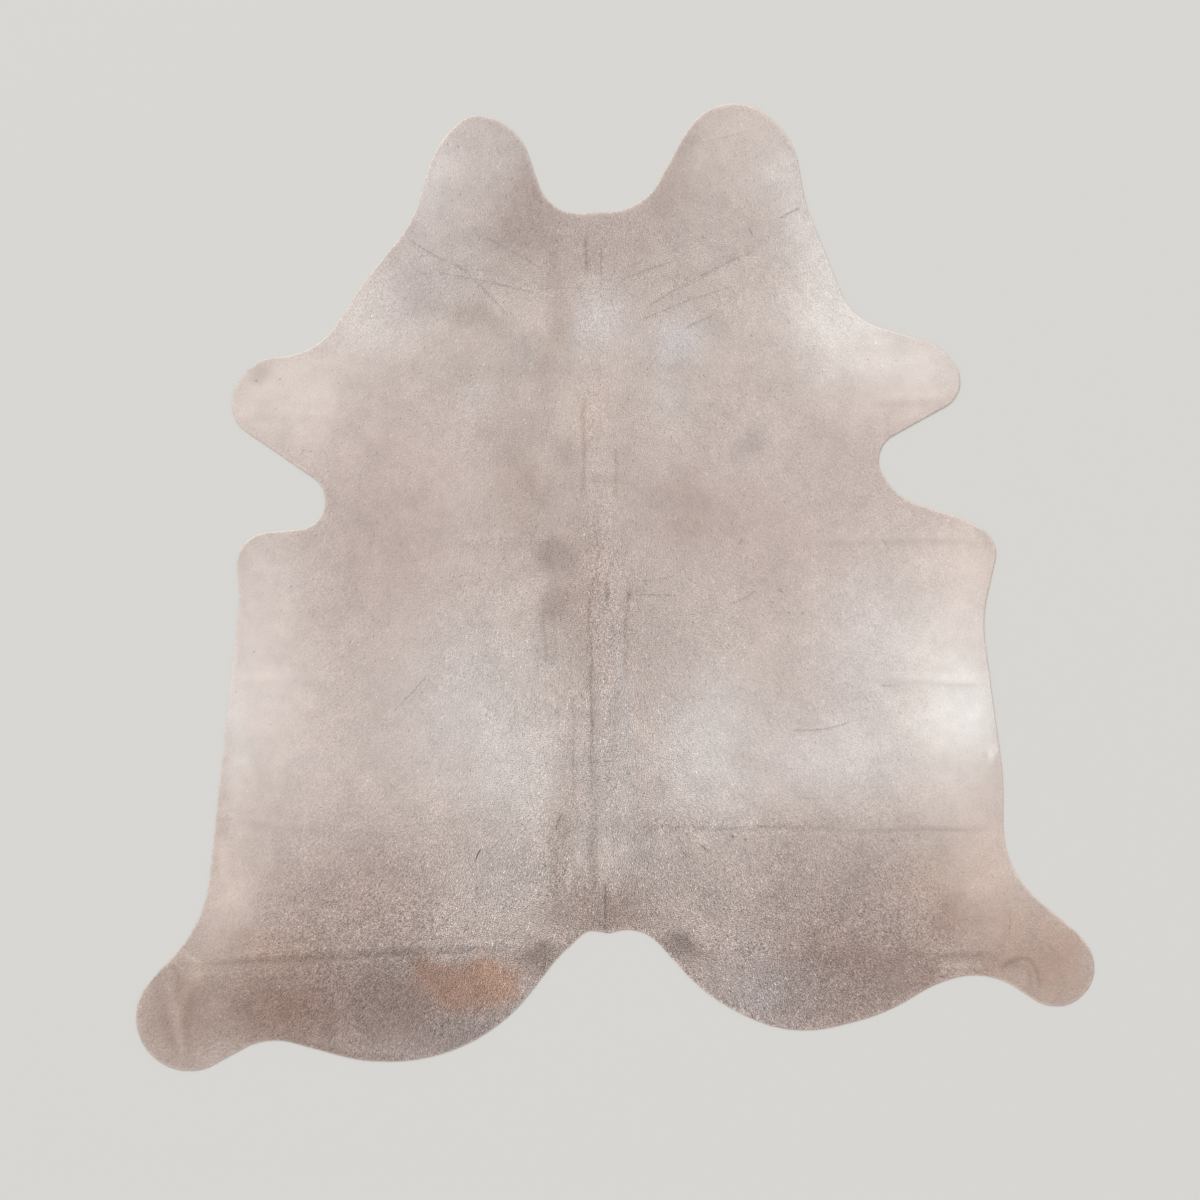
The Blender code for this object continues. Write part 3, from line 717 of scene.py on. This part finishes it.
# How speckled the coat is, in ovals with a fairly firm edge. A later one lies over those before it.
GRAIN_EDGE = 2
Grain = namedtuple("Grain", "place x y half_x half_y amount")
GRAINS = (
    Grain("neck", -30, 650, 400, 190, 1.7),
    Grain("withers", -40, 400, 270, 200, 1.5),
    Grain("back", -40, -150, 340, 340, 2.0),
    Grain("spine, rear", -35, -420, 210, 340, 2.5),
    Grain("rump", -20, -800, 780, 330, 4.0),
    Grain("backbone", -35, -300, 75, 420, 2.8),
    Grain("tail", -20, -690, 120, 100, 3.8),
    Grain("flank, left", -790, -200, 160, 380, 0.3),
    Grain("flank, right", 790, -250, 180, 420, 0.4),
    Grain("front shank, left", -700, 400, 180, 130, 0.45),
    Grain("front shank, right", 640, 440, 180, 130, 0.45),
    Grain("thigh, left", -830, -620, 100, 170, 0.6),
    Grain("thigh, right", 800, -620, 110, 150, 0.7),
    Grain("hind shank, left", -940, -890, 130, 150, 1.2),
    Grain("hind shank, right", 940, -790, 150, 140, 1.0),
)


def oval_weight(points, x, y, half_x, half_y, turn=0, edge=1):
    """exp(-r^(2 edge)), where r is the distance from the oval's middle as a share of its half sizes."""
    cos, sin = math.cos(math.radians(turn)), math.sin(math.radians(turn))
    off = points - (x, y)
    r2 = ((off[:, 0] * cos + off[:, 1] * sin) / half_x) ** 2
    r2 += ((off[:, 1] * cos - off[:, 0] * sin) / half_y) ** 2
    return np.exp(-(r2**edge))


def bent(points):
    """The places moved by cloudy noise, so that outlines drawn on them come out ragged."""
    moved = points.astype(float).copy()
    for k, (size, amount) in enumerate(RAGGED):
        for axis, seed in enumerate(RAGGED_SEEDS):
            moved[:, axis] += amount * cloudy(points, size, seed + k)
    return moved


def grain_amount(points):
    """How speckled the coat is: 1 is its usual amount."""
    amount = np.ones(len(points))
    for grain in GRAINS:
        weight = oval_weight(points, grain.x, grain.y, grain.half_x, grain.half_y, edge=GRAIN_EDGE)
        amount += weight * (grain.amount - amount)
    return amount


def marks(points):
    """How dark the scratches and flecks make a place, from 0 to 1."""
    dark = np.zeros(len(points))
    for scratch in SCRATCHES:
        dark = np.maximum(dark, scratch.share * line_weight(scratch, points, SCRATCH_FADE))
    dark *= np.clip(SHOWING + SHOWING_SWING * cloudy(points, BROKEN, BROKEN_SEED), 0, 1)
    for fleck in FLECKS:
        off = ((points[:, 0] - fleck.x) ** 2 + (points[:, 1] - fleck.y) ** 2) / fleck.radius**2
        dark = np.maximum(dark, fleck.share * np.clip(1 - off, 0, 1))
    return dark


def coat_colour(points):
    """Screen colour of the coat: the ground with each patch and streak laid over it by its weight, among them
    painted light and sheen and the painted shade of folds, then the mottle, then the whole a shade paler and
    greyer, and last the marks and the pale line along the cut.
    """
    colour = np.tile(screen(GROUND), (len(points), 1))
    ragged = bent(points)
    for patch in PATCHES:
        oval = oval_weight(ragged, patch.x, patch.y, patch.half_x, patch.half_y, patch.turn, patch.edge)
        colour += (patch.share * oval)[:, None] * (screen(patch.colour) - colour)
    wobbly = points + STREAK_BENT * (ragged - points)
    for streak in STREAKS_AND_PAINTED_SHADING:
        line = streak.share * line_weight(streak, wobbly, STREAK_FADE)
        colour += line[:, None] * (screen(streak.colour) - colour)
    mottle = sum(amount * cloudy(points, size, MOTTLE_SEED + k) for k, (size, amount) in enumerate(MOTTLE))
    by_grain = 1 - MOTTLE_BY_GRAIN + MOTTLE_BY_GRAIN * grain_amount(points)
    colour *= 1 + (MOTTLE_AMOUNT * by_grain * mottle)[:, None]
    grey = (colour @ LUMA)[:, None]
    colour = PALER * (grey + GREYER * (colour - grey))
    colour += marks(points)[:, None] * (screen(MARK_COLOUR) - colour)
    rim = RIM_SHARE * np.exp(-((depth(points) / RIM_WIDTH) ** 2))
    return colour + rim[:, None] * (screen(RIM_COLOUR) - colour)


print(len(PATCHES), "patches,", len(STREAKS_AND_PAINTED_SHADING), "streaks,", len(SCRATCHES) + len(FLECKS), "marks")

# %% [markdown]
# ## The sheet
#
# The hide is one closed sheet. Its rim is a profile carried round the cut: the flat flesh side, the wall
# that the knife left and the hair that rounds down to it. Across the rest, the height is a function of x
# and y over a honeycomb of points. A remesh would round the cut off, so a triangulation joins rim and
# honeycomb, and it also takes in rows of points along each scratch, which are far finer than the honeycomb.
# %% Points of the sheet
SHEET_STEP, BACK_STEP, MARK_STEP = 6.6, 34, 4
# The rim's profile from the flesh side up: how far in it lies, and its height. Then come rings that follow
# the height of the hair side.
LEATHER_THICKNESS = 1.7
WALL = ((0.9, 0.0), (0.0, 0.5), (0.0, LEATHER_THICKNESS), (0.35, 2.0))
HAIR_RINGS = (1.6, 4.2, 8.0)
RING_TO_GRID, MARK_TO_GRID, MARK_TO_MARK = 4.0, 2.6, 1.2


def honeycomb(step):
    """Points in rows, each row half a step along from the last, over the hide's whole box."""
    x = np.arange(edge[:, 0].min(), edge[:, 0].max(), step)
    y = np.arange(edge[:, 1].min(), edge[:, 1].max(), step * math.sqrt(3) / 2)
    grid = np.stack(np.meshgrid(x, y), axis=-1)
    grid[1::2, :, 0] += step / 2
    return grid.reshape(-1, 2)


def thinned(points, gap):
    """The points in order, without those closer than a gap to an earlier one of the same coarse cell."""
    cell = np.unique(np.round(points / gap).astype(int), axis=0, return_index=True)[1]
    return points[np.sort(cell)]


def rows_along(line):
    """Three rows of points along a bowed line: its crest and both its sides."""
    start = np.array([line.start_x, line.start_y], float)
    way = np.array([line.end_x, line.end_y], float) - start
    length = np.hypot(*way)
    left = np.array([-way[1], way[0]]) / length
    share = np.linspace(0, 1, max(3, round(length / MARK_STEP)))[:, None]
    crest = start + share * way + 4 * line.bow * share * (1 - share) * left
    return np.concatenate([crest + side * line.half_width * left for side in (0, 1, -1)])


def dots_round(fleck):
    """A fleck's middle and six points round it."""
    turn = np.arange(6) * math.tau / 6
    ring = fleck.radius * np.stack([np.cos(turn), np.sin(turn)], axis=1)
    return np.vstack([[0, 0], ring]) + (fleck.x, fleck.y)


out = outward(edge)
mark_points = np.concatenate([rows_along(s) for s in SCRATCHES] + [dots_round(f) for f in FLECKS])
mark_points = thinned(mark_points[depth(mark_points) > HAIR_RINGS[-1] + RING_TO_GRID], MARK_TO_MARK)
top_points = honeycomb(SHEET_STEP)
top_points = top_points[depth(top_points) > HAIR_RINGS[-1] + RING_TO_GRID]
top_points = top_points[nearest(top_points, mark_points) > MARK_TO_GRID]
back_points = honeycomb(BACK_STEP)
back_points = back_points[depth(back_points) > BACK_STEP / 2]
print(len(top_points), "honeycomb points,", len(mark_points), "along marks,", len(back_points), "on the back")

# %% Mesh of the sheet
# What the triangulation keeps, and how near two points are the same one
KEEP_INSIDE, SAME_PLACE = 1, 1e-6
TOP, WALL_FACE, BACK = 0, 1, 2
# Faces that meet more steeply than this keep a sharp edge, or a lock would take shade from its underside.
SHARP = math.radians(100)


def joined(ring, field):
    """Triangles over a closed ring and the points inside it, as corner numbers, the ring's points first."""
    count = len(ring)
    sides = [(i, (i + 1) % count) for i in range(count)]
    points = np.vstack([ring, field])
    _, _, faces, source, _, _ = delaunay_2d_cdt(points.tolist(), sides, [], KEEP_INSIDE, SAME_PLACE)
    first = np.array([names[0] for names in source])
    corners = first[np.array(faces)]
    a, b, c = points[corners[:, 0]], points[corners[:, 1]], points[corners[:, 2]]
    turn = (b[:, 0] - a[:, 0]) * (c[:, 1] - a[:, 1]) - (b[:, 1] - a[:, 1]) * (c[:, 0] - a[:, 0])
    corners[turn < 0] = corners[turn < 0][:, ::-1]
    return corners


def band(lower, upper, count):
    """Triangles between two rings whose first corners are lower and upper, facing away from the hide."""
    i = np.arange(count)
    j = (i + 1) % count
    halves = (lower + i, upper + i, upper + j), (lower + i, upper + j, lower + j)
    return np.concatenate([np.stack(half, axis=1) for half in halves])


def make_mesh(name, points, corners, kinds, spread, colours, speckled):
    """A mesh in metres from arrays: corner places, triangles and a material number for each triangle.

    Each corner also has its (u, v) on the map, the coat's linear colour and how speckled the coat is there.
    """
    mesh = bpy.data.meshes.new(name)
    mesh.vertices.add(len(points))
    mesh.vertices.foreach_set("co", (points * MM).astype(np.float32).ravel())
    mesh.loops.add(corners.size)
    mesh.loops.foreach_set("vertex_index", corners.astype(np.int32).ravel())
    mesh.polygons.add(len(corners))
    mesh.polygons.foreach_set("loop_start", np.arange(0, corners.size, 3, dtype=np.int32))
    mesh.polygons.foreach_set("material_index", kinds.astype(np.int32))
    mesh.polygons.foreach_set("use_smooth", np.ones(len(corners), bool))
    mesh.update(calc_edges=True)
    on_map = spread[corners.ravel()].astype(np.float32)
    mesh.uv_layers.new(name="OFBake").data.foreach_set("uv", on_map.ravel())
    coat = np.column_stack([colours, np.ones(len(points))]).astype(np.float32)
    mesh.attributes.new("coat", "FLOAT_COLOR", "POINT").data.foreach_set("color", coat.ravel())
    mesh.attributes.new("grain", "FLOAT", "POINT").data.foreach_set("value", speckled.astype(np.float32))
    mesh.set_sharp_from_angle(angle=SHARP)
    if mesh.validate():
        print(name, "had faces that Blender mended")
    return mesh


def new_piece(name, mesh, materials):
    """An object with the mesh and its materials."""
    piece = bpy.data.objects.new(name, mesh)
    for material in materials:
        mesh.materials.append(material)
    bpy.context.scene.collection.objects.link(piece)
    return piece


count = len(edge)
rings = [np.column_stack([edge - out * far_in, np.full(count, height)]) for far_in, height in WALL]
for far_in in HAIR_RINGS:
    line = edge - out * far_in
    rings.append(np.column_stack([line, hair_side(line)]))
field = np.vstack([top_points, mark_points])
hair_field = np.column_stack([field, hair_side(field)])
flesh_field = np.column_stack([back_points, np.zeros(len(back_points))])
sheet_points = np.vstack(rings + [hair_field, flesh_field])

last_ring, after_rings = (len(rings) - 1) * count, len(rings) * count
top = joined(rings[-1][:, :2], field)
top = np.where(top < count, top + last_ring, top - count + after_rings)
back = joined(rings[0][:, :2], back_points)[:, ::-1]
back = np.where(back < count, back, back - count + after_rings + len(field))
walls = [band(k * count, (k + 1) * count, count) for k in range(len(rings) - 1)]
sheet_corners = np.vstack([top, back] + walls)
wall_count = len(WALL) - 1
kinds = [np.full(len(top), TOP), np.full(len(back), BACK)]
kinds += [np.full(len(w), WALL_FACE if k < wall_count else TOP) for k, w in enumerate(walls)]
print(len(sheet_points), "points and", len(sheet_corners), "triangles in the sheet")

# %% The sheet's map and its colours
# The map is a plan of the hair side. The wall is folded outwards on it, and the flesh side lies small in the
# corner that the hide leaves free beside its left cheek.
PLAN_SIDE = 2080
FLESH_SCALE, FLESH_CORNER = 0.2, (0.02, 0.79)

plan = sheet_points[:, :2] / PLAN_SIDE + 0.5
unrolled = 0.0
for k in range(len(WALL) - 1, -1, -1):
    unrolled += math.dist(WALL[k], WALL[k + 1] if k + 1 < len(WALL) else (HAIR_RINGS[0], WALL[k][1]))
    plan[k * count : (k + 1) * count] = (edge - out * HAIR_RINGS[0] + out * unrolled) / PLAN_SIDE + 0.5
flesh = np.concatenate([np.arange(count), np.arange(after_rings + len(field), len(sheet_points))])
plan[flesh] = FLESH_CORNER + FLESH_SCALE * (sheet_points[flesh, :2] / PLAN_SIDE + 0.5)
sheet_colours = linear_light(np.clip(coat_colour(sheet_points[:, :2]), 0, 1))
print("mean colour of the coat", (sheet_colours.mean(axis=0)).round(3))

# %% [markdown]
# ## Hair, leather and suede
#
# The coat is short hair: keratin, so a dielectric with an IOR of about 1.55, not very rough, with a soft
# sheen. At this size single hairs can't show, so the salt and pepper of pale and dark hairs is drawn 2.1 mm
# coarse. The cut wall is pale tanned leather, and the flesh side is buffed suede, which has a fine nap and
# soft clouds.
# %% Materials of the sheet
HAIR_GRAIN = 2.1 * MM
SPECKLE = 1.05
LEATHER_COLOUR, LEATHER_GRAIN, LEATHER_SPECKLE = "D9CBBB", 1.2 * MM, 0.35
SUEDE_COLOUR, SUEDE_NAP, SUEDE_SPECKLE = "D8CCBC", 1.5 * MM, 0.3
SUEDE_CLOUD, SUEDE_CLOUDED = 90 * MM, 0.25


def noise(tree, size, detail):
    """A noise texture over the object's own coordinates, with features about as large as size, in metres."""
    place = add(tree, "TexCoord", {}, {}).outputs["Object"]
    return add(tree, "TexNoise", {}, {"Vector": place, "Scale": 1 / size, "Detail": detail}).outputs[0]


def grained(tree, colour, texture, amount):
    """The colour made lighter and darker by a texture: colour * (1 + amount * (texture - 0.5))."""
    off = add(tree, "Math", {"operation": "SUBTRACT"}, {0: texture, 1: 0.5}).outputs[0]
    by = add(tree, "Math", {"operation": "MULTIPLY_ADD"}, {0: off, 1: amount, 2: 1.0}).outputs[0]
    return add(tree, "VectorMath", {"operation": "SCALE"}, {0: colour, "Scale": by}).outputs[0]


def coat_material():
    """Short sleek hair, coloured by the coat attribute and speckled by the grain attribute."""
    material, tree, output = new_material("short_cow_hair")
    coat = add(tree, "Attribute", {"attribute_name": "coat"}, {}).outputs["Color"]
    grain = add(tree, "Attribute", {"attribute_name": "grain"}, {}).outputs["Fac"]
    fine = noise(tree, HAIR_GRAIN, 3)
    speckle = add(tree, "Math", {"operation": "MULTIPLY"}, {0: grain, 1: SPECKLE}).outputs[0]
    bump = {"Height": fine, "Strength": 0.35, "Distance": 0.6 * MM}
    hair = {
        "Base Color": grained(tree, coat, fine, speckle),
        "Normal": add(tree, "Bump", {}, bump).outputs[0],
        "Roughness": 0.62,
        "IOR": 1.55,
        "Specular IOR Level": 0.35,
        "Sheen Weight": 0.12,
        "Sheen Roughness": 0.45,
    }
    tree.links.new(add(tree, "BsdfPrincipled", {}, hair).outputs[0], output.inputs[0])
    return material


def leather_material():
    """The knife-cut wall of the hide: pale tanned leather, matt, with a fine fibrous grain."""
    material, tree, output = new_material("cut_leather")
    fibre = noise(tree, LEATHER_GRAIN, 4)
    leather = {
        "Base Color": grained(tree, paint(LEATHER_COLOUR)[:3], fibre, LEATHER_SPECKLE),
        "Normal": add(tree, "Bump", {}, {"Height": fibre, "Strength": 0.4, "Distance": 0.3 * MM}).outputs[0],
        "Roughness": 0.75,
    }
    tree.links.new(add(tree, "BsdfPrincipled", {}, leather).outputs[0], output.inputs[0])
    return material


def suede_material():
    """The flesh side: buffed suede, off-white and very matt, with a nap and faint clouds."""
    material, tree, output = new_material("buffed_suede")
    nap, cloud = noise(tree, SUEDE_NAP, 4), noise(tree, SUEDE_CLOUD, 3)
    clouded = grained(tree, paint(SUEDE_COLOUR)[:3], cloud, SUEDE_CLOUDED)
    suede = {
        "Base Color": grained(tree, clouded, nap, SUEDE_SPECKLE),
        "Normal": add(tree, "Bump", {}, {"Height": nap, "Strength": 0.5, "Distance": 0.5 * MM}).outputs[0],
        "Roughness": 0.95,
    }
    tree.links.new(add(tree, "BsdfPrincipled", {}, suede).outputs[0], output.inputs[0])
    return material


short_hair = coat_material()
sheet_grain = grain_amount(sheet_points[:, :2])
sheet_mesh = make_mesh(
    "hide_sheet", sheet_points, sheet_corners, np.concatenate(kinds), plan, sheet_colours, sheet_grain
)
hide_sheet = new_piece("hide_sheet", sheet_mesh, [short_hair, leather_material(), suede_material()])
print("the sheet reaches", [round(v, 4) for v in hide_sheet.dimensions])

# %% [markdown]
# ## The way the hair lies
#
# A cow's hair runs back from the poll, and out and down over the flanks and along each shank. It is 10 to
# 15 mm long and lies flat. Blender's hair curves can grow it, but an exported model needs a mesh, and
# single hairs are far too fine for one. So the coat is made of locks, each a flat spike that stands for a
# few dozen hairs.
# %% Headings of the hair, in degrees from straight back, more than 0 towards +X
FLANK_HEADING, HEADING_WIDTH = 34, 260
Lay = namedtuple("Lay", "place x y half_x half_y heading")
LAYS = (
    Lay("cheek, left", -290, 900, 170, 170, -14),
    Lay("cheek, right", 265, 890, 190, 190, 14),
    Lay("front shank, left", -760, 400, 220, 140, -78),
    Lay("front shank, right", 680, 440, 220, 140, 78),
    Lay("hind shank, left", -880, -860, 200, 180, -62),
    Lay("hind shank, right", 900, -770, 200, 180, 70),
    Lay("tail", -20, -740, 90, 90, 0),
)
HEADING_CLOUD, HEADING_WAVER, HEADING_SEED = 85, 9, 60


def heading(points):
    """The hair's heading in radians: a tanh curve across the spine, turned along the shanks, and uneven."""
    degrees = FLANK_HEADING * np.tanh((points[:, 0] - SPINE_X) / HEADING_WIDTH)
    for lay in LAYS:
        degrees += oval_weight(points, lay.x, lay.y, lay.half_x, lay.half_y) * (lay.heading - degrees)
    return np.radians(degrees + HEADING_WAVER * cloudy(points, HEADING_CLOUD, HEADING_SEED))


print("heading on the left flank", np.degrees(heading(np.array([[-700.0, -200.0]]))).round(), "degrees")

# %% Locks of hair
# A lock's corners as shares along it, across it and up, and its faces, which point outwards
SPIKE = np.array([(0, -0.5, -0.35), (0, 0.5, -0.35), (0.3, 0, 1), (1, 0, 0.7)])
SPIKE_FACES = np.array([(0, 2, 1), (0, 1, 3), (1, 2, 3), (0, 3, 2)])
SPIKE_MAP = np.array([(0, 0), (0, 1), (0.3, 0.5), (1, 0.5)])
BENT_SPIKE = [(0, -0.5, -0.5), (0, 0.5, -0.5), (0.15, 0, 1)]
BENT_SPIKE += [(0.55, -0.4, -0.3), (0.55, 0.4, -0.3), (0.6, 0, 0.9), (1, 0, 0)]
BENT_SPIKE = np.array(BENT_SPIKE)
BENT_FACES = [(0, 2, 1), (0, 1, 4), (0, 4, 3), (1, 2, 5), (1, 5, 4), (2, 0, 3), (2, 3, 5)]
BENT_FACES = np.array(BENT_FACES + [(3, 4, 6), (4, 5, 6), (5, 3, 6)])
BENT_MAP = np.array([(0, 0), (0, 1), (0.15, 0.5), (0.55, 0.1), (0.55, 0.9), (0.6, 0.5), (1, 0.5)])
# The free share of a lock's cell on the map, and how a lock's tone goes from root to tip
MAP_MARGIN = 0.12
ROOT_SHADE, TIP_SHADE = 0.95, 1.04


def lock_points(shape, roots, turn, long, wide, high, drop):
    """Corners of every lock: root + along * long * way + across * wide * left, at the hair side's height
    + up * high - drop * over^2, where over is how far a corner hangs out over the cut.
    """
    way = np.stack([np.sin(turn), -np.cos(turn)], axis=1)
    left = np.stack([-way[:, 1], way[:, 0]], axis=1)
    along = (long[:, None] * shape[:, 0])[..., None] * way[:, None]
    across = (wide[:, None] * shape[:, 1])[..., None] * left[:, None]
    flat = (roots[:, None] + along + across).reshape(-1, 2)
    out_over = np.clip(-depth(flat), 0, None)
    height = hair_side(flat) + (high[:, None] * shape[:, 2]).ravel() - drop * out_over**2
    return np.column_stack([flat, np.maximum(height, 0)])


def lock_piece(name, shape, faces, spread, roots, turn, long, wide, high, tone, drop=0.0):
    """A piece of many locks. Each has its own square cell on the map, in which it lies from left to right."""
    total, size = len(roots), len(shape)
    points = lock_points(shape, roots, turn, long, wide, high, drop)
    corners = (np.arange(total)[:, None, None] * size + faces).reshape(-1, 3)
    cells = math.ceil(math.sqrt(total))
    cell = np.stack(np.divmod(np.arange(total), cells), axis=1)[:, None, :]
    on_map = ((cell + MAP_MARGIN + (1 - 2 * MAP_MARGIN) * spread) / cells).reshape(-1, 2)
    shade = ROOT_SHADE + (TIP_SHADE - ROOT_SHADE) * shape[:, 0]
    screen_colour = (coat_colour(roots) * tone[:, None])[:, None] * shade[:, None]
    colours = linear_light(np.clip(screen_colour.reshape(-1, 3), 0, 1))
    speckled = np.repeat(grain_amount(roots), size)
    mesh = make_mesh(name, points, corners, np.zeros(len(corners)), on_map, colours, speckled)
    print(name, total, "locks,", len(corners), "triangles")
    return new_piece(name, mesh, [short_hair])


# %% [markdown]
# ## The coat
#
# The locks stand 4 mm apart all over the hair side, and each differs a little in length, heading and tone.
# Few of them are dark, and more of those grow on the back and rump, which gives the real coat its salt and
# pepper there.
# %% The coat, in four pieces from rump to neck
LOCK_GAP, LOCK_JITTER = 4.05, 1.5
LOCK_LENGTH, LOCK_WIDTH = 7.4, 1.8
# Sleek hair lies flat, and the coarser hair of the rump stands up more.
SLEEK_HEIGHT, COARSE_HEIGHT = 0.12, 0.07
COAT_NAMES = ("coat_rump", "coat_loin", "coat_shoulders", "coat_neck")
# How far from the cut a lock's root and tip stay
EDGE_CLEAR, TIP_CLEAR = 3.5, 1.0
# Each lock differs from the rest in heading, in radians, in tone, and by these shares of its sizes.
HEADING_SPREAD, TONE_SPREAD = 0.17, 0.036
LENGTHS, WIDTHS, HEIGHTS = (0.7, 1.25), (0.7, 1.3), (0.6, 1.4)
# Shares of dark and of pale locks where the coat has its usual speckle, and how they differ from the rest
DARK_SHARE, DARK_TONE, PALE_SHARE, PALE_TONE = 0.007, 0.75, 0.006, 1.15
COAT_SEED = 7

rng = np.random.default_rng(COAT_SEED)
roots = honeycomb(LOCK_GAP)
roots = roots + rng.uniform(-LOCK_JITTER, LOCK_JITTER, roots.shape)
roots = roots[depth(roots) > EDGE_CLEAR]
turn = heading(roots) + rng.normal(0, HEADING_SPREAD, len(roots))
tips = roots + LOCK_LENGTH * np.stack([np.sin(turn), -np.cos(turn)], axis=1)
kept = depth(tips) > TIP_CLEAR
roots, turn = roots[kept], turn[kept]
amounts = grain_amount(roots)
tone = 1 + TONE_SPREAD * amounts * rng.normal(0, 1, len(roots))
chance = rng.uniform(0, 1, len(roots))
tone[chance < DARK_SHARE * amounts**2] *= DARK_TONE
tone[chance > 1 - PALE_SHARE * amounts**2] *= PALE_TONE
long = LOCK_LENGTH * rng.uniform(*LENGTHS, len(roots))
wide = LOCK_WIDTH * rng.uniform(*WIDTHS, len(roots))
high = (SLEEK_HEIGHT + COARSE_HEIGHT * amounts) * rng.uniform(*HEIGHTS, len(roots))
pieces = []
for name, part in zip(COAT_NAMES, np.array_split(np.argsort(roots[:, 1]), len(COAT_NAMES))):
    each = (values[part] for values in (roots, turn, long, wide, high, tone))
    pieces.append(lock_piece(name, SPIKE, SPIKE_FACES, SPIKE_MAP, *each))

# %% [markdown]
# ## The hair over the cut
#
# Seen close, the cut isn't a bare line: where the hair runs outwards its tips hang a millimetre or two over
# the leather, and where it runs inwards the leather shows as a thin pale rim. So the locks along the cut
# have a bend, and how far each reaches over follows the angle between the hair's way and the cut.
# %% The fringe
FRINGE_GAP, FRINGE_DEPTHS = 1.7, (2.2, 4.6)
FRINGE_JITTER, FRINGE_SPREAD = 0.6, 0.22
# How far tips hang over the cut, how much of that a lock has at least, and how much more than its way says
FRINGE_OVER, FRINGE_LEAST, FRINGE_MORE = 2.2, 0.3, 0.25
# A lock that runs along the cut would never reach it, so it is taken to face it at least this much.
LEAST_FACING = 0.35
FRINGE_LENGTHS, FRINGE_WIDTHS, FRINGE_HEIGHTS = (2.5, 6.5), (0.7, 1.5), (0.2, 0.45)
FRINGE_TONE, FRINGE_TONE_SPREAD, FRINGE_DROP = 1.02, 0.03, 0.12

starts, turns, lengths = [], [], []
for far_in in FRINGE_DEPTHS:
    line = evenly_spaced(belt(CUT_EDGE, ARC_STEP), FRINGE_GAP) - edge_shift
    away = outward(line)
    line = line + rng.uniform(-FRINGE_JITTER, FRINGE_JITTER, line.shape) - away * far_in
    turn = heading(line) + rng.normal(0, FRINGE_SPREAD, len(line))
    way = np.stack([np.sin(turn), -np.cos(turn)], axis=1)
    facing = (way * away).sum(axis=1)
    over = FRINGE_OVER * np.clip(facing + FRINGE_MORE, 0, 1) * rng.uniform(FRINGE_LEAST, 1, len(line))
    far = (far_in + over) / np.maximum(facing, LEAST_FACING)
    starts.append(line)
    turns.append(turn)
    lengths.append(np.clip(far, *FRINGE_LENGTHS))
starts, turn, long = np.concatenate(starts), np.concatenate(turns), np.concatenate(lengths)
wide = rng.uniform(*FRINGE_WIDTHS, len(starts))
high = rng.uniform(*FRINGE_HEIGHTS, len(starts))
tone = rng.normal(FRINGE_TONE, FRINGE_TONE_SPREAD, len(starts))
each = starts, turn, long, wide, high, tone, FRINGE_DROP
pieces.append(lock_piece("coat_fringe", BENT_SPIKE, BENT_FACES, BENT_MAP, *each))

# %% [markdown]
# ## What replaces the solid
#
# The sheet stands for the solid, lies where it lay and moves with its body.
for piece in [hide_sheet] + pieces:
    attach(piece, "root")
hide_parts("hide")
